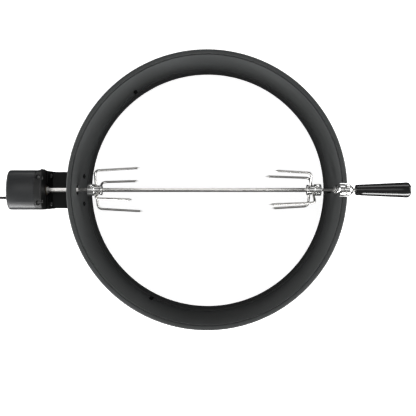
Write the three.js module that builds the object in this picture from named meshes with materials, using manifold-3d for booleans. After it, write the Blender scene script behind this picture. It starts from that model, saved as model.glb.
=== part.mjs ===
// Rotisserie ring for a round kettle barbecue: a steel ring with a rim, a geared motor on a
// bracket, a square spit with two four-tine forks, a grooved bushing, a collar and a handle.
// Millimetres, +Z up. The spit lies along X, the motor is at -X and the handle at +X, and the
// ring stands on z = 0. The outer group moves the whole so that the middle of its length is x = 0.

import * as THREE from 'three';
import { mergeVertices } from 'three/addons/utils/BufferGeometryUtils.js';
import Module from 'manifold-3d';

const wasm = await Module();
wasm.setup();

// ---- driving dimensions ---------------------------------------------------------------------

const GAP = 0.3; // clearance between pieces that touch

const ring = {
  rimRadius: 285, // outside of the rim: 57 cm across
  wallRadius: 272.5, // inside of the wall: about 55 cm across
  sheet: 1.2, // steel sheet thickness
  height: 167,
  skirt: 20, // height of the rim's turned-down edge
  rimBend: 3.5, // outer radius of the rim's two bends
  spigotRadius: 267.5, // inside of the part that drops into the kettle
  spigotHeight: 36,
  sides: 64,
};

const spitHeight = ring.height - 47; // height of the spit's axis

const spit = {
  side: 6.4, // square bar
  turn: 55, // degrees from +Y to the normal of the flat that the screws press
  left: -369,
  squareEnd: 236, // the bar is round from here to its right end
  roundRadius: 3.1,
  right: 331,
};

const wallHole = { radius: 10.7 }; // the spit's hole in the left side of the wall

const bushing = {
  flangeRadius: 8.7,
  flangeLength: 3.5,
  grooveRadius: 6.5,
  grooveSlack: 1.6, // room on each side of the wall
  bodyRadius: 12.85,
  bodyEnd: 289,
  chamfer: 2.5,
};

const notch = { slack: 0.6, rimHalfWidth: 13.5, rimDepth: 22 };

const collar = { gap: 1.4, length: 16.5, bigRadius: 12, smallRadius: 6.2, bandLength: 8.5 };

const handle = {
  start: 312,
  end: 426,
  frontRadius: 11.2,
  endRadius: 16.2,
  frontChamfer: 1.6,
  endRound: 5,
  insertRadius: 5.5, // outside of the threaded insert
};

const fork = {
  wireRadius: 2.4,
  legStart: 5.8, // where a tine's leg starts, out from the spit's axis
  bendRadius: 8,
  baseRadius: 43.6, // from the spit's axis to a tine at its bend
  tipRadius: 49.5,
  pointLength: 9,
  tipShare: 0.22, // the point's radius as a share of the wire's
  collarLength: 14,
  collarRadius: 12.2,
  neckLength: 12.4,
  neckRadius: 9.6,
  faceLength: 3.2,
  faceRadius: 11,
};

const forks = [
  // x is where the collar's outer end is; toward is +1 if the tines point along +X
  { name: 'left', x: -250.5, toward: 1, longAngle: 23.5, shortAngle: 113.5 },
  { name: 'right', x: 239, toward: -1, longAngle: 127.2, shortAngle: 37.2 },
];
// lengths of the tines, and places of their legs along the hub
const tine = { long: 95, short: 77, longPlane: 17.6, shortPlane: 23.1 };

const setScrew = { shankRadius: 2, headRadius: 4.2, headHeight: 4.2, slot: 1 };

const motor = {
  front: -337.5,
  seam: -350.6, // between the front housing and the rear shell
  rear: -409,
  width: 82,
  crown: spitHeight + 45, // highest line of its arched top
  arch: 8, // rise of the arch between its shoulders
  shoulder: 10, // width of a rounded shoulder
  bottom: 46,
  footRadius: 7,
  wall: 2.5,
  frontWall: 3,
  edge: 5, // rounding of the rear edge
  sideScrewY: 26,
  pocketRadius: 5.6,
  pocketWall: 1.2,
  pocketDepth: 4,
  bossRadius: 3.6, // of the posts that the housing screws go into
};

const housingScrews = [
  { y: 24, z: spitHeight + 32 },
  { y: -24, z: spitHeight + 32 },
  { y: 30, z: motor.bottom + 10 },
  { y: -30, z: motor.bottom + 10 },
];
const smallScrew = { radius: 1.4, headRadius: 3, headHeight: 2, length: 26 };

const bracket = {
  sheet: 2.5,
  width: 79,
  top: 84, // height of the level plate
  uprightTop: spitHeight + 3,
  slotHalfWidth: 11.5,
  tabBottom: 56,
  flange: 15,
  boltZ: 72,
  boltY: 30,
  screwZ: 97,
  screwY: 30,
};
const mountScrew = { radius: 2.5, headRadius: 4.6, headHeight: 2.8, depth: 8 };
const coverScrew = { headRadius: 3.6, headHeight: 2 };
const bolt = { radius: 2.9, headRadius: 5.2, headHeight: 3, nutWidth: 10, nutHeight: 4 };

const restPin = { angles: [-117.5, 126.25, -0.5], z: 58, radius: 4.3, inward: 9, tail: 2.8 };

const train = {
  // every mesh: wheel teeth, pinion teeth and module
  last: { wheel: 50, pinion: 10, module: 1.0 },
  middle: { wheel: 40, pinion: 10, module: 0.8 },
  first: { wheel: 40, pinion: 8, module: 0.7 },
  toothShare: 0.43, // tooth thickness as a share of the pitch
  addendum: 0.85,
  dedendum: 1.15,
  axleRadius: 1.5,
  leanOfSecond: 42, // degrees from straight down to the second gear's axis
};
const wheels = {
  // widths and clearances along X, from the front wall to the rear
  frontClearance: 3.8,
  lastWidth: 6,
  middleGap: 2.2,
  middleWidth: 5,
  firstGap: 3,
  firstWidth: 4,
  plateGap: 2.5,
  plateThickness: 2,
};
const hub = { radius: 7, socket: spit.side + 0.6, rear: -372, front: -333 };
const bearing = { outer: 9.2, flange: 10.8, flangeThickness: 1.2 };
const rotorPiece = { drop: 46, magnetRadius: 11, shaftRadius: 1.2 }; // drop is from the spit's axis
const stator = { length: 22, outerRadius: 22, sheet: 1.2, shaftHole: 2, windingRadius: 12 };

const switchPiece = {
  x: -345.3,
  z: spitHeight,
  width: 8,
  height: 16,
  depth: 12,
  rim: 1.5,
  lip: 0.8,
  wall: 0.9,
};

const cord = { radius: 3, exitY: -17, exitZ: 70, sides: 10 };
const gland = {
  length: 30,
  flangeRadius: 8,
  flangeThickness: 2.4,
  neckRadius: 5.5, // of the part inside the shell
  rootRadius: 6,
  tipRadius: 4.1,
};
const coil = { x: -545, y: -52, middleRadius: 33, low: 1.5, turnsWide: 3, turnsHigh: 2 };
const tie = { angle: -50, width: 10, strap: 1, slack: 0.4 };
const plug = {
  length: 36,
  width: 31,
  neckWidth: 12,
  neckLength: 6,
  thickness: 13.4,
  rounding: 1.5,
  pinRadius: 2,
  pinLength: 19,
  pinGap: 18.6,
  pinDepth: 8,
};

// ---- helpers --------------------------------------------------------------------------------

const model = new THREE.Group();
const rad = THREE.MathUtils.degToRad;

const finish = {
  coated: { color: 0x2c2e2e, roughness: 0.45, metalness: 0.3 },
  darkPlastic: { color: 0x2b2d2e, roughness: 0.5, metalness: 0 },
  shell: { color: 0x3a3c3e, roughness: 0.38, metalness: 0.1 },
  steel: { color: 0xc8c6c1, roughness: 0.25, metalness: 1 },
  chrome: { color: 0xcecdca, roughness: 0.14, metalness: 1 },
  zinc: { color: 0xa9aaa6, roughness: 0.4, metalness: 1 },
  grip: { color: 0x1c1c1c, roughness: 0.18, metalness: 0 },
  copper: { color: 0xa8602c, roughness: 0.4, metalness: 1 },
  nylon: { color: 0xd9d5c6, roughness: 0.6, metalness: 0 },
  magnet: { color: 0x3b3a3a, roughness: 0.6, metalness: 0.4 },
  brass: { color: 0xb08d45, roughness: 0.35, metalness: 1 },
  cable: { color: 0x1a1a1b, roughness: 0.6, metalness: 0 },
};

function add(name, geometry, look) {
  const mesh = new THREE.Mesh(geometry, new THREE.MeshStandardMaterial(finish[look]));
  mesh.name = name;
  model.add(mesh);
}

// The same surface with its faces pointing out, whichever way its outline ran.
function outward(geometry) {
  const bare = new THREE.BufferGeometry();
  bare.setAttribute('position', geometry.attributes.position.clone());
  if (geometry.index) bare.setIndex(geometry.index.clone());
  const merged = mergeVertices(bare, 1e-4);
  const p = merged.attributes.position;
  const corner = [new THREE.Vector3(), new THREE.Vector3(), new THREE.Vector3()];
  const kept = [];
  let volume = 0;
  for (let i = 0; i < merged.index.count; i += 3) {
    const [a, b, c] = [0, 1, 2].map((k) => merged.index.getX(i + k));
    if (a === b || b === c || c === a) continue;
    kept.push(a, b, c);
    [a, b, c].forEach((n, k) => corner[k].fromBufferAttribute(p, n));
    volume += corner[0].dot(corner[1].clone().cross(corner[2]));
  }
  if (volume < 0) {
    for (let i = 0; i < kept.length; i += 3) [kept[i], kept[i + 1]] = [kept[i + 1], kept[i]];
  }
  merged.setIndex(kept);
  return merged;
}

function toSolid(geometry) {
  const closed = outward(geometry);
  return new wasm.Manifold(
    new wasm.Mesh({
      numProp: 3,
      vertProperties: new Float32Array(closed.attributes.position.array),
      triVerts: new Uint32Array(closed.index.array),
    }),
  );
}

function toGeometry(solid) {
  const mesh = solid.getMesh();
  const geometry = new THREE.BufferGeometry();
  geometry.setAttribute('position', new THREE.BufferAttribute(mesh.vertProperties, 3));
  geometry.setIndex(new THREE.BufferAttribute(mesh.triVerts, 1));
  geometry.computeVertexNormals();
  return geometry;
}

// Joins the first list of geometries and cuts the second list out of them.
function carve(joined, cuts = []) {
  let solid = toSolid(joined[0]);
  for (const piece of joined.slice(1)) solid = solid.add(toSolid(piece));
  for (const cut of cuts) solid = solid.subtract(toSolid(cut));
  return toGeometry(solid);
}

// A turned piece about +Y: profile is a list of [place along the axis, radius].
function turned(profile, sides = 16) {
  return outward(new THREE.LatheGeometry(profile.map(([at, r]) => new THREE.Vector2(r, at)), sides));
}
const turnedX = (profile, sides) => turned(profile, sides).rotateZ(-Math.PI / 2);
const turnedZ = (profile, sides) => turned(profile, sides).rotateX(Math.PI / 2);

function rod(radius, from, to, sides = 16) {
  return turned([[from, 0], [from, radius], [to, radius], [to, 0]], sides);
}
const rodX = (radius, from, to, y, z, sides) =>
  rod(radius, from, to, sides).rotateZ(-Math.PI / 2).translate(0, y, z);
const rodZ = (radius, from, to, x, y, sides) =>
  rod(radius, from, to, sides).rotateX(Math.PI / 2).translate(x, y, 0);

function pipe(inner, outer, from, to, sides = 20) {
  return turned([[from, inner], [from, outer], [to, outer], [to, inner], [from, inner]], sides);
}

function box(x0, x1, y0, y1, z0, z1) {
  const middle = [(x0 + x1) / 2, (y0 + y1) / 2, (z0 + z1) / 2];
  return new THREE.BoxGeometry(x1 - x0, y1 - y0, z1 - z0).translate(...middle);
}

const yzxBasis = new THREE.Matrix4().makeBasis(
  new THREE.Vector3(0, 1, 0),
  new THREE.Vector3(0, 0, 1),
  new THREE.Vector3(1, 0, 0),
);

// An outline drawn in Y and Z, extruded along X from one place to another.
function slab(shape, from, to, bevel = 0) {
  const options = {
    depth: to - from - 2 * bevel,
    curveSegments: 4,
    bevelEnabled: bevel > 0,
    bevelSize: bevel,
    bevelThickness: bevel,
    bevelSegments: 2,
  };
  return new THREE.ExtrudeGeometry(shape, options).applyMatrix4(yzxBasis).translate(from + bevel, 0, 0);
}

// A square bar or hole on the spit's axis, turned as the spit's bar is.
function squareX(side, from, to) {
  const h = side / 2;
  return box(from, to, -h, h, -h, h).rotateX(rad(spit.turn)).translate(0, 0, spitHeight);
}

// Turns a piece made about +Y so that it points out of the spit's axis as the set screws do.
function onScrewLine(geometry, x) {
  return geometry.rotateX(rad(spit.turn)).translate(x, 0, spitHeight);
}

// ---- ring -----------------------------------------------------------------------------------

function arc(cx, cy, r, from, to, steps) {
  return Array.from({ length: steps + 1 }, (_, i) => {
    const a = rad(from + ((to - from) * i) / steps);
    return [cx + r * Math.cos(a), cy + r * Math.sin(a)];
  });
}

function ringProfile() {
  const { rimRadius, wallRadius, sheet, height, skirt, rimBend, spigotRadius, spigotHeight } = ring;
  const inner = rimBend - sheet;
  const points = [
    [spigotRadius + sheet, 0],
    [spigotRadius + sheet, spigotHeight - sheet],
    [wallRadius + sheet, spigotHeight - sheet],
    ...arc(wallRadius + rimBend, height - rimBend, inner, 180, 90, 1),
    ...arc(rimRadius - rimBend, height - rimBend, inner, 90, 0, 1),
    [rimRadius - sheet, height - skirt],
    [rimRadius, height - skirt],
    ...arc(rimRadius - rimBend, height - rimBend, rimBend, 0, 90, 2),
    ...arc(wallRadius + rimBend, height - rimBend, rimBend, 90, 180, 2),
    [wallRadius, spigotHeight],
    [spigotRadius, spigotHeight],
    [spigotRadius, 0],
    [spigotRadius + sheet, 0],
  ];
  return points.map(([radius, z]) => [z, radius]);
}

function buildRing() {
  const wall = ring.wallRadius;
  const outside = ring.rimRadius + 5;
  const half = bushing.grooveRadius + notch.slack;
  const rimHalf = notch.rimHalfWidth;
  const above = ring.height + 5;
  const cuts = [
    rodX(half, wall - 20, outside, 0, spitHeight, 24),
    box(wall - 20, outside, -half, half, spitHeight, above),
    box(wall - 20, outside, -rimHalf, rimHalf, ring.height - notch.rimDepth, above),
    rodX(wallHole.radius, -outside, -wall + 20, 0, spitHeight, 24),
    ...[1, -1].map((side) =>
      rodX(bolt.radius + GAP, -outside, -wall + 20, side * bracket.boltY, bracket.boltZ, 14)),
    ...restPin.angles.map((angle) =>
      rodX(restPin.radius / 2 + GAP, wall - 20, wall + 20, 0, restPin.z, 12).rotateZ(rad(angle))),
  ];
  add('ring_shell', carve([turnedZ(ringProfile(), ring.sides)], cuts), 'coated');

  restPin.angles.forEach((angle, i) => {
    const r = restPin.radius;
    const outer = wall + ring.sheet;
    const face = wall - restPin.inward;
    const profile = [
      [face, 0], [face, r - 1], [face + 1, r], [wall - 2 * GAP, r], [wall - 2 * GAP, r / 2],
      [outer + GAP, r / 2], [outer + GAP, r], [outer + restPin.tail, r * 0.6], [outer + restPin.tail, 0],
    ];
    const pin = turnedX(profile, 10).translate(0, 0, restPin.z);
    add(`rest_pin_${i + 1}`, pin.rotateZ(rad(angle)), 'coated');
  });
}

// ---- motor bracket --------------------------------------------------------------------------

function buildBracket() {
  const { sheet, width, top, uprightTop, slotHalfWidth, tabBottom, flange } = bracket;
  const half = width / 2;
  const face = motor.front + GAP; // the motor side of the upright
  const outerWall = ring.wallRadius + ring.sheet + GAP;
  const tabLeft = -Math.sqrt((outerWall + sheet) ** 2 - half ** 2);

  // The tab follows the ring's wall.
  const hoop = pipe(outerWall, outerWall + sheet, tabBottom, top, ring.sides * 2).rotateX(Math.PI / 2);
  const tab = toSolid(hoop)
    .intersect(toSolid(box(-outerWall - 10, -ring.wallRadius + 20, -half, half, tabBottom, top)));
  const plate = toSolid(box(face, -ring.wallRadius + 10, -half, half, top - sheet, top))
    .subtract(toSolid(rodZ(outerWall + sheet / 2, 0, top + 5, 0, 0, ring.sides * 2)));
  const sides = [1, -1].map((s) => {
    const [low, high] = s > 0 ? [half - sheet, half] : [-half, -half + sheet];
    return toSolid(box(face, tabLeft - 1, low, high, top - flange, top));
  });
  const slotTop = box(face - 5, face + 10, -slotHalfWidth, slotHalfWidth, spitHeight, uprightTop + 5);
  const upright = toSolid(box(face, face + sheet, -half, half, top - sheet, uprightTop))
    .subtract(toSolid(rodX(slotHalfWidth, face - 5, face + 10, 0, spitHeight, 24)))
    .subtract(toSolid(slotTop));

  let solid = tab.add(plate).add(upright);
  for (const side of sides) solid = solid.add(side);
  const { boltY, boltZ, screwY, screwZ } = bracket;
  const screwHole = mountScrew.radius + GAP;
  for (const s of [1, -1]) {
    const [behind, inside] = [-ring.rimRadius, -ring.wallRadius + 20];
    const boltHole = rodX(bolt.radius + GAP, behind, inside, s * boltY, boltZ, 14);
    solid = solid
      .subtract(toSolid(boltHole))
      .subtract(toSolid(rodX(screwHole, face - 5, face + 10, s * screwY, screwZ, 12)));
  }
  add('motor_bracket', toGeometry(solid), 'coated');

  [1, -1].forEach((s, i) => {
    addBolt(i + 1, s * boltY, outerWall + sheet);
    addMountScrew(i + 1, s * screwY, face + sheet + GAP);
  });
}

// A bolt through the ring's wall and the bracket's tab, with its nut behind the tab.
function addBolt(number, y, tabRadius) {
  const { radius: r, headRadius: h, headHeight: t, nutWidth, nutHeight } = bolt;
  const z = bracket.boltZ;
  const inside = -Math.sqrt(ring.wallRadius ** 2 - (Math.abs(y) + h) ** 2) + 2 * GAP;
  const behind = -Math.sqrt(tabRadius ** 2 - (Math.abs(y) - nutWidth / 2) ** 2) - GAP;
  const end = behind - nutHeight - 2;
  const profile = [
    [end, 0], [end, r], [inside, r], [inside, h], [inside + t * 0.5, h * 0.9], [inside + t, h * 0.45],
    [inside + t, 0],
  ];
  add(`bracket_bolt_${number}`, turnedX(profile, 12).translate(0, y, z), 'coated');
  const nut = carve(
    [rodX(nutWidth / Math.sqrt(3), behind - nutHeight, behind, y, z, 6)],
    [rodX(r + GAP, behind - nutHeight - 1, behind + 1, y, z, 14)],
  );
  add(`bracket_nut_${number}`, nut, 'zinc');
}

function addMountScrew(number, y, seat) {
  const { radius: r, headRadius: h, headHeight: t, depth } = mountScrew;
  const end = motor.front - depth;
  const profile = [
    [end, 0], [end, r], [seat, r], [seat, h], [seat + t * 0.64, h * 0.87], [seat + t, h * 0.43],
    [seat + t, 0],
  ];
  add(`mount_screw_${number}`, turnedX(profile, 10).translate(0, y, bracket.screwZ), 'zinc');
}

// ---- spit, bushing, collar, handle ----------------------------------------------------------

function screwProfile(from, seat) {
  const { shankRadius: s, headRadius: h, headHeight: t } = setScrew;
  return [
    [from, 0], [from, s], [seat, s], [seat, h - 0.5], [seat + 0.6, h], [seat + t - 0.6, h],
    [seat + t, h - 0.6], [seat + t, 0],
  ];
}

function addSetScrew(name, x, seat) {
  const from = spit.side / 2 + GAP;
  const { headHeight, headRadius, slot } = setScrew;
  const [reach, floor, above] = [headRadius + 1, seat + headHeight - 1.4, seat + headHeight + 1];
  const body = carve(
    [turned(screwProfile(from, seat), 12)],
    [box(-reach, reach, floor, above, -slot / 2, slot / 2)],
  );
  add(name, onScrewLine(body, x), 'chrome');
}

function buildSpit() {
  const tip = spit.side * 0.3;
  const square = squareX(spit.side, spit.left, spit.squareEnd);
  const past = spit.squareEnd + 1;
  const taper = turnedX([
    [spit.left - 1, 0], [spit.left - 1, tip], [spit.left + 7, spit.side], [past, spit.side], [past, 0],
  ], 20).translate(0, 0, spitHeight);
  const bar = toSolid(square)
    .intersect(toSolid(taper))
    .add(toSolid(rodX(spit.roundRadius, spit.squareEnd - 2, spit.right, 0, spitHeight, 20)));
  add('spit_bar', toGeometry(bar), 'steel');

  const bore = spit.roundRadius + GAP;
  const wallOut = ring.wallRadius + ring.sheet;
  const g0 = ring.wallRadius - bushing.grooveSlack;
  const g1 = wallOut + bushing.grooveSlack;
  const { flangeRadius: f, grooveRadius: g, bodyRadius: b, chamfer: c, flangeLength: l } = bushing;
  const end = bushing.bodyEnd;
  const outline = [
    [g0 - l, bore], [g0 - l, f - 0.8], [g0 - l + 0.8, f], [g0, f], [g0, g], [g1, g], [g1, b - c],
    [g1 + c, b], [end - 0.8, b], [end, b - 0.8], [end, bore], [g0 - l, bore],
  ];
  add('ring_bushing', turnedX(outline, 24).translate(0, 0, spitHeight), 'chrome');

  const start = end + collar.gap;
  const { bigRadius: big, smallRadius: small, bandLength, length } = collar;
  const cone = [
    [start, bore], [start, big - 0.8], [start + 0.8, big], [start + bandLength, big],
    [start + length, small], [start + length, bore], [start, bore],
  ];
  const screwX = start + bandLength * 0.5;
  const screwHole = onScrewLine(rod(setScrew.shankRadius + GAP, 0, big + 5, 12), screwX);
  add('stop_collar', carve([turnedX(cone, 24).translate(0, 0, spitHeight)], [screwHole]), 'chrome');
  addSetScrew('stop_collar_screw', screwX, big + GAP);
}

function buildHandle() {
  const { start, end, frontRadius: a, endRadius: b, frontChamfer: c, endRound: e, insertRadius } = handle;
  const insertEnd = spit.right - 1;
  const slope = (b - a) / (end - start);
  const domeCentre = end - e;
  const outline = [
    [start, insertRadius + GAP],
    [start, a - c],
    [start + c, a],
    [domeCentre, b - e * slope],
    ...arc(domeCentre, b - e, e, 90, 0, 4),
    [end, 0],
    [spit.right + 2, 0],
    [spit.right + 2, insertRadius + GAP],
    [start, insertRadius + GAP],
  ];
  add('handle_grip', turnedX(outline, 28).translate(0, 0, spitHeight), 'grip');
  const bush = pipe(spit.roundRadius + GAP, insertRadius, start - 0.6, insertEnd, 20);
  add('handle_insert', bush.rotateZ(-Math.PI / 2).translate(0, 0, spitHeight), 'zinc');
}

// ---- forks ----------------------------------------------------------------------------------

// A closed tube through rings of given places, directions and radii, all square to one normal.
function sweep(rings, sides, normal) {
  const positions = [];
  const index = [];
  for (const { at, dir, radius } of rings) {
    const across = new THREE.Vector3().crossVectors(normal, dir).normalize();
    for (let k = 0; k < sides; k += 1) {
      const a = ((k + 0.5) / sides) * Math.PI * 2;
      const p = at.clone().addScaledVector(across, radius * Math.cos(a));
      p.addScaledVector(normal, radius * Math.sin(a));
      positions.push(p.x, p.y, p.z);
    }
  }
  for (let i = 0; i + 1 < rings.length; i += 1) {
    for (let k = 0; k < sides; k += 1) {
      const [a, b] = [i * sides + k, i * sides + ((k + 1) % sides)];
      index.push(a, b, b + sides, a, b + sides, a + sides);
    }
  }
  const last = (rings.length - 1) * sides;
  for (let k = 1; k + 1 < sides; k += 1) index.push(0, k + 1, k, last, last + k, last + k + 1);
  const geometry = new THREE.BufferGeometry();
  geometry.setAttribute('position', new THREE.Float32BufferAttribute(positions, 3));
  geometry.setIndex(index);
  return outward(geometry);
}

// One bent wire drawn in the X-Y plane: a leg out of the hub, a bend and a pointed tine.
function tineGeometry(plane, length, toward) {
  const { bendRadius, baseRadius, tipRadius, pointLength, wireRadius: wire, legStart } = fork;
  const corner = new THREE.Vector3(plane, baseRadius, 0);
  const along = new THREE.Vector3(toward * length, tipRadius - baseRadius, 0).normalize();
  const before = corner.clone().add(new THREE.Vector3(0, -bendRadius, 0));
  const after = corner.clone().addScaledVector(along, bendRadius);
  const shoulder = corner.clone().addScaledVector(along, length - pointLength);
  const tip = corner.clone().addScaledVector(along, length);
  const bend = new THREE.QuadraticBezierCurve3(before, corner, after);
  const out = new THREE.Vector3(0, 1, 0);
  const rings = [{ at: new THREE.Vector3(plane, legStart, 0), dir: out, radius: wire }];
  for (let k = 0; k <= 4; k += 1) {
    rings.push({ at: bend.getPoint(k / 4), dir: bend.getTangent(k / 4).normalize(), radius: wire });
  }
  rings.push({ at: shoulder, dir: along, radius: wire });
  rings.push({ at: tip, dir: along, radius: wire * fork.tipShare });
  return sweep(rings, 8, new THREE.Vector3(0, 0, 1));
}

function buildFork({ name, x, toward, longAngle, shortAngle }) {
  const { collarLength, collarRadius: c, neckLength, neckRadius: n, faceLength, faceRadius: f } = fork;
  const at = (d) => x + toward * d;
  const neckEnd = collarLength + neckLength;
  const end = neckEnd + faceLength;
  const outline = [
    [0, 0], [0, c - 1], [1, c], [collarLength - 1, c], [collarLength, c - 1], [collarLength, n],
    [neckEnd, n], [neckEnd, f], [end - 1, f], [end, f - 1], [end, 0],
  ].map(([d, r]) => [at(d), r]);
  const tines = [
    { tag: 'long_a', kind: 'long', angle: longAngle },
    { tag: 'long_b', kind: 'long', angle: longAngle + 180 },
    { tag: 'short_a', kind: 'short', angle: shortAngle },
    { tag: 'short_b', kind: 'short', angle: shortAngle + 180 },
  ];
  const screwX = at(collarLength / 2);
  const cuts = [
    squareX(spit.side + 2 * GAP, Math.min(x, at(end)) - 1, Math.max(x, at(end)) + 1),
    onScrewLine(rod(setScrew.shankRadius + GAP, 0, c + 5, 12), screwX),
    ...tines.map(({ kind, angle }) =>
      rod(fork.wireRadius + 2 * GAP, fork.legStart - GAP, n + 5, 8)
        .rotateX(rad(angle)).translate(at(tine[`${kind}Plane`]), 0, spitHeight)),
  ];
  const hubBody = carve([turnedX(outline, 20).translate(0, 0, spitHeight)], cuts);
  add(`${name}_fork_hub`, hubBody, 'chrome');
  for (const { tag, kind, angle } of tines) {
    const wire = tineGeometry(at(tine[`${kind}Plane`]), tine[kind], toward);
    add(`${name}_fork_tine_${tag}`, wire.rotateX(rad(angle)).translate(0, 0, spitHeight), 'steel');
  }
  addSetScrew(`${name}_fork_screw`, screwX, c + GAP);
}

// ---- motor housing --------------------------------------------------------------------------

// The motor's cross-section: an arched top between rounded shoulders, and rounded lower corners.
function motorOutline(inset) {
  const half = motor.width / 2 - inset;
  const low = motor.bottom + inset;
  const top = motor.crown - inset;
  const foot = Math.max(motor.footRadius - inset, 1);
  const edgeY = half - motor.shoulder;
  const archRadius = (edgeY ** 2 + motor.arch ** 2) / (2 * motor.arch);
  const archAngle = Math.asin(edgeY / archRadius);
  const corner = top - motor.arch - motor.shoulder * Math.tan(archAngle);
  const shape = new THREE.Shape();
  shape.moveTo(-half + foot, low);
  shape.lineTo(half - foot, low);
  shape.absarc(half - foot, low + foot, foot, -Math.PI / 2, 0);
  shape.lineTo(half, corner - motor.shoulder);
  shape.quadraticCurveTo(half, corner, edgeY, top - motor.arch);
  shape.absarc(0, top - archRadius, archRadius, Math.PI / 2 - archAngle, Math.PI / 2 + archAngle);
  shape.quadraticCurveTo(-half, corner, -half, corner - motor.shoulder);
  shape.lineTo(-half, low + foot);
  shape.absarc(-half + foot, low + foot, foot, Math.PI, 1.5 * Math.PI);
  return shape;
}

function buildShell() {
  const { front, seam, rear, wall, edge, bossRadius } = motor;
  const shellFront = seam - GAP;
  const bossHole = smallScrew.radius + GAP;
  let shell = toSolid(slab(motorOutline(edge), rear, seam + 30, edge))
    .subtract(toSolid(slab(motorOutline(wall), rear + wall, seam + 40)))
    .subtract(toSolid(box(shellFront, front + 60, -motor.width, motor.width, 0, motor.crown + 20)));
  for (const { y, z } of housingScrews) {
    shell = shell
      .add(toSolid(rodX(bossRadius, rear + wall / 2, shellFront, y, z, 10)))
      .subtract(toSolid(rodX(bossHole, front - smallScrew.length - 2, front, y, z, 8)));
  }
  const cordHole = rodX(gland.neckRadius + GAP, rear - 10, rear + 10, cord.exitY, cord.exitZ, 16);
  add('motor_rear_shell', toGeometry(shell.subtract(toSolid(cordHole))), 'shell');
}

// The front housing is a shallow tray with the output shaft's hole in its front wall.
function buildFront() {
  const { front, seam, wall, frontWall, sideScrewY, pocketRadius, pocketDepth, crown } = motor;
  const pocketBore = pocketRadius - motor.pocketWall;
  const pocketX = (front + seam) / 2;
  const roof = crown - motor.arch * (sideScrewY / (motor.width / 2 - motor.shoulder)) ** 2;
  const screwHole = mountScrew.radius + GAP;
  const { screwY, screwZ } = bracket;

  let tray = toSolid(slab(motorOutline(0), seam, front))
    .subtract(toSolid(slab(motorOutline(wall), seam - 5, front - frontWall)));
  for (const s of [1, -1]) {
    const y = s * sideScrewY;
    tray = tray
      .add(toSolid(rodZ(pocketRadius, roof - pocketDepth - 1.5, roof - wall / 2, pocketX, y, 14)))
      .subtract(toSolid(rodZ(pocketBore, roof - pocketDepth, crown + 5, pocketX, y, 16)))
      .subtract(toSolid(rodX(screwHole, front - 20, front + 5, s * screwY, screwZ, 12)));
  }
  for (const { y, z } of housingScrews) {
    const hole = rodX(smallScrew.radius + GAP, front - frontWall - 2, front + 5, y, z, 10);
    tray = tray.subtract(toSolid(hole));
  }
  for (const { y, z } of [axes.second, axes.first]) {
    const blind = front - frontWall / 2;
    tray = tray
      .add(toSolid(rodX(train.axleRadius + 2.2, front - frontWall - 3, blind, y, z, 12)))
      .subtract(toSolid(rodX(train.axleRadius + GAP, front - frontWall - 5, blind, y, z, 12)));
  }
  const { x, z, width, height } = switchPiece;
  const [halfX, halfZ] = [width / 2 + GAP, height / 2 + GAP];
  const side = motor.width / 2;
  const switchHole = box(x - halfX, x + halfX, side - 6, side * 2, z - halfZ, z + halfZ);
  tray = tray
    .subtract(toSolid(rodX(bearing.outer + GAP, front - 10, front + 5, 0, spitHeight, 24)))
    .subtract(toSolid(switchHole));
  add('motor_front_housing', toGeometry(tray), 'darkPlastic');

  [1, -1].forEach((s, i) => {
    const { headRadius: r, headHeight: t } = coverScrew;
    const floor = roof - pocketDepth + GAP;
    const top = floor + t;
    const profile = [[floor, 0], [floor, r], [floor + t * 0.6, r], [top, r * 0.55], [top, 0]];
    const head = turnedZ(profile, 12);
    add(`cover_screw_${i + 1}`, head.translate(pocketX, s * sideScrewY, 0), 'zinc');
  });
}

function buildHousingScrews() {
  const { radius: r, headRadius: h, headHeight: t, length } = smallScrew;
  const seat = motor.front + GAP;
  const profile = [
    [seat - length, 0], [seat - length, r], [seat, r], [seat, h], [seat + t * 0.5, h * 0.9],
    [seat + t, h * 0.5], [seat + t, 0],
  ];
  housingScrews.forEach(({ y, z }, i) => {
    add(`housing_screw_${i + 1}`, turnedX(profile, 10).translate(0, y, z), 'zinc');
  });
}

// ---- gear train -----------------------------------------------------------------------------

// Where the two lower gears turn: each pair of axes is as far apart as its mesh needs.
function findAxes() {
  const distance = ({ wheel, pinion, module: m }) => ((wheel + pinion) * m) / 2;
  const lean = rad(train.leanOfSecond);
  const output = { y: 0, z: spitHeight };
  const rotor = { y: 0, z: spitHeight - rotorPiece.drop };
  const second = {
    y: distance(train.last) * Math.sin(lean),
    z: spitHeight - distance(train.last) * Math.cos(lean),
  };
  const [r1, r2] = [distance(train.middle), distance(train.first)];
  const apart = Math.hypot(rotor.y - second.y, rotor.z - second.z);
  const along = (r1 ** 2 - r2 ** 2 + apart ** 2) / (2 * apart);
  const aside = Math.sqrt(r1 ** 2 - along ** 2);
  const [uy, uz] = [(rotor.y - second.y) / apart, (rotor.z - second.z) / apart];
  const first = { y: second.y + along * uy - aside * uz, z: second.z + along * uz + aside * uy };
  return { output, second, first, rotor };
}
const axes = findAxes();

// Half the angle that a tooth takes at a radius, by the involute of a 20 degree rack.
function halfTooth(teeth, m, radius) {
  const pressure = rad(20);
  const pitch = (teeth * m) / 2;
  const base = pitch * Math.cos(pressure);
  const involute = (a) => Math.tan(a) - a;
  const at = Math.acos(Math.min(1, base / Math.max(radius, base)));
  return (train.toothShare * Math.PI) / teeth + involute(pressure) - involute(at);
}

// A gear's outline about the origin, with the middle of one tooth at an angle.
function gearShape(teeth, m, phase) {
  const pitch = (teeth * m) / 2;
  const [root, tip] = [pitch - train.dedendum * m, pitch + train.addendum * m];
  const [wide, narrow] = [halfTooth(teeth, m, root), halfTooth(teeth, m, tip)];
  const around = [[root, -wide], [tip, -narrow], [tip, narrow], [root, wide]];
  const points = [];
  for (let i = 0; i < teeth; i += 1) {
    const middle = phase + (i * 2 * Math.PI) / teeth;
    for (const [r, a] of around) {
      points.push(new THREE.Vector2(r * Math.cos(middle + a), r * Math.sin(middle + a)));
    }
  }
  return new THREE.Shape(points);
}

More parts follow.
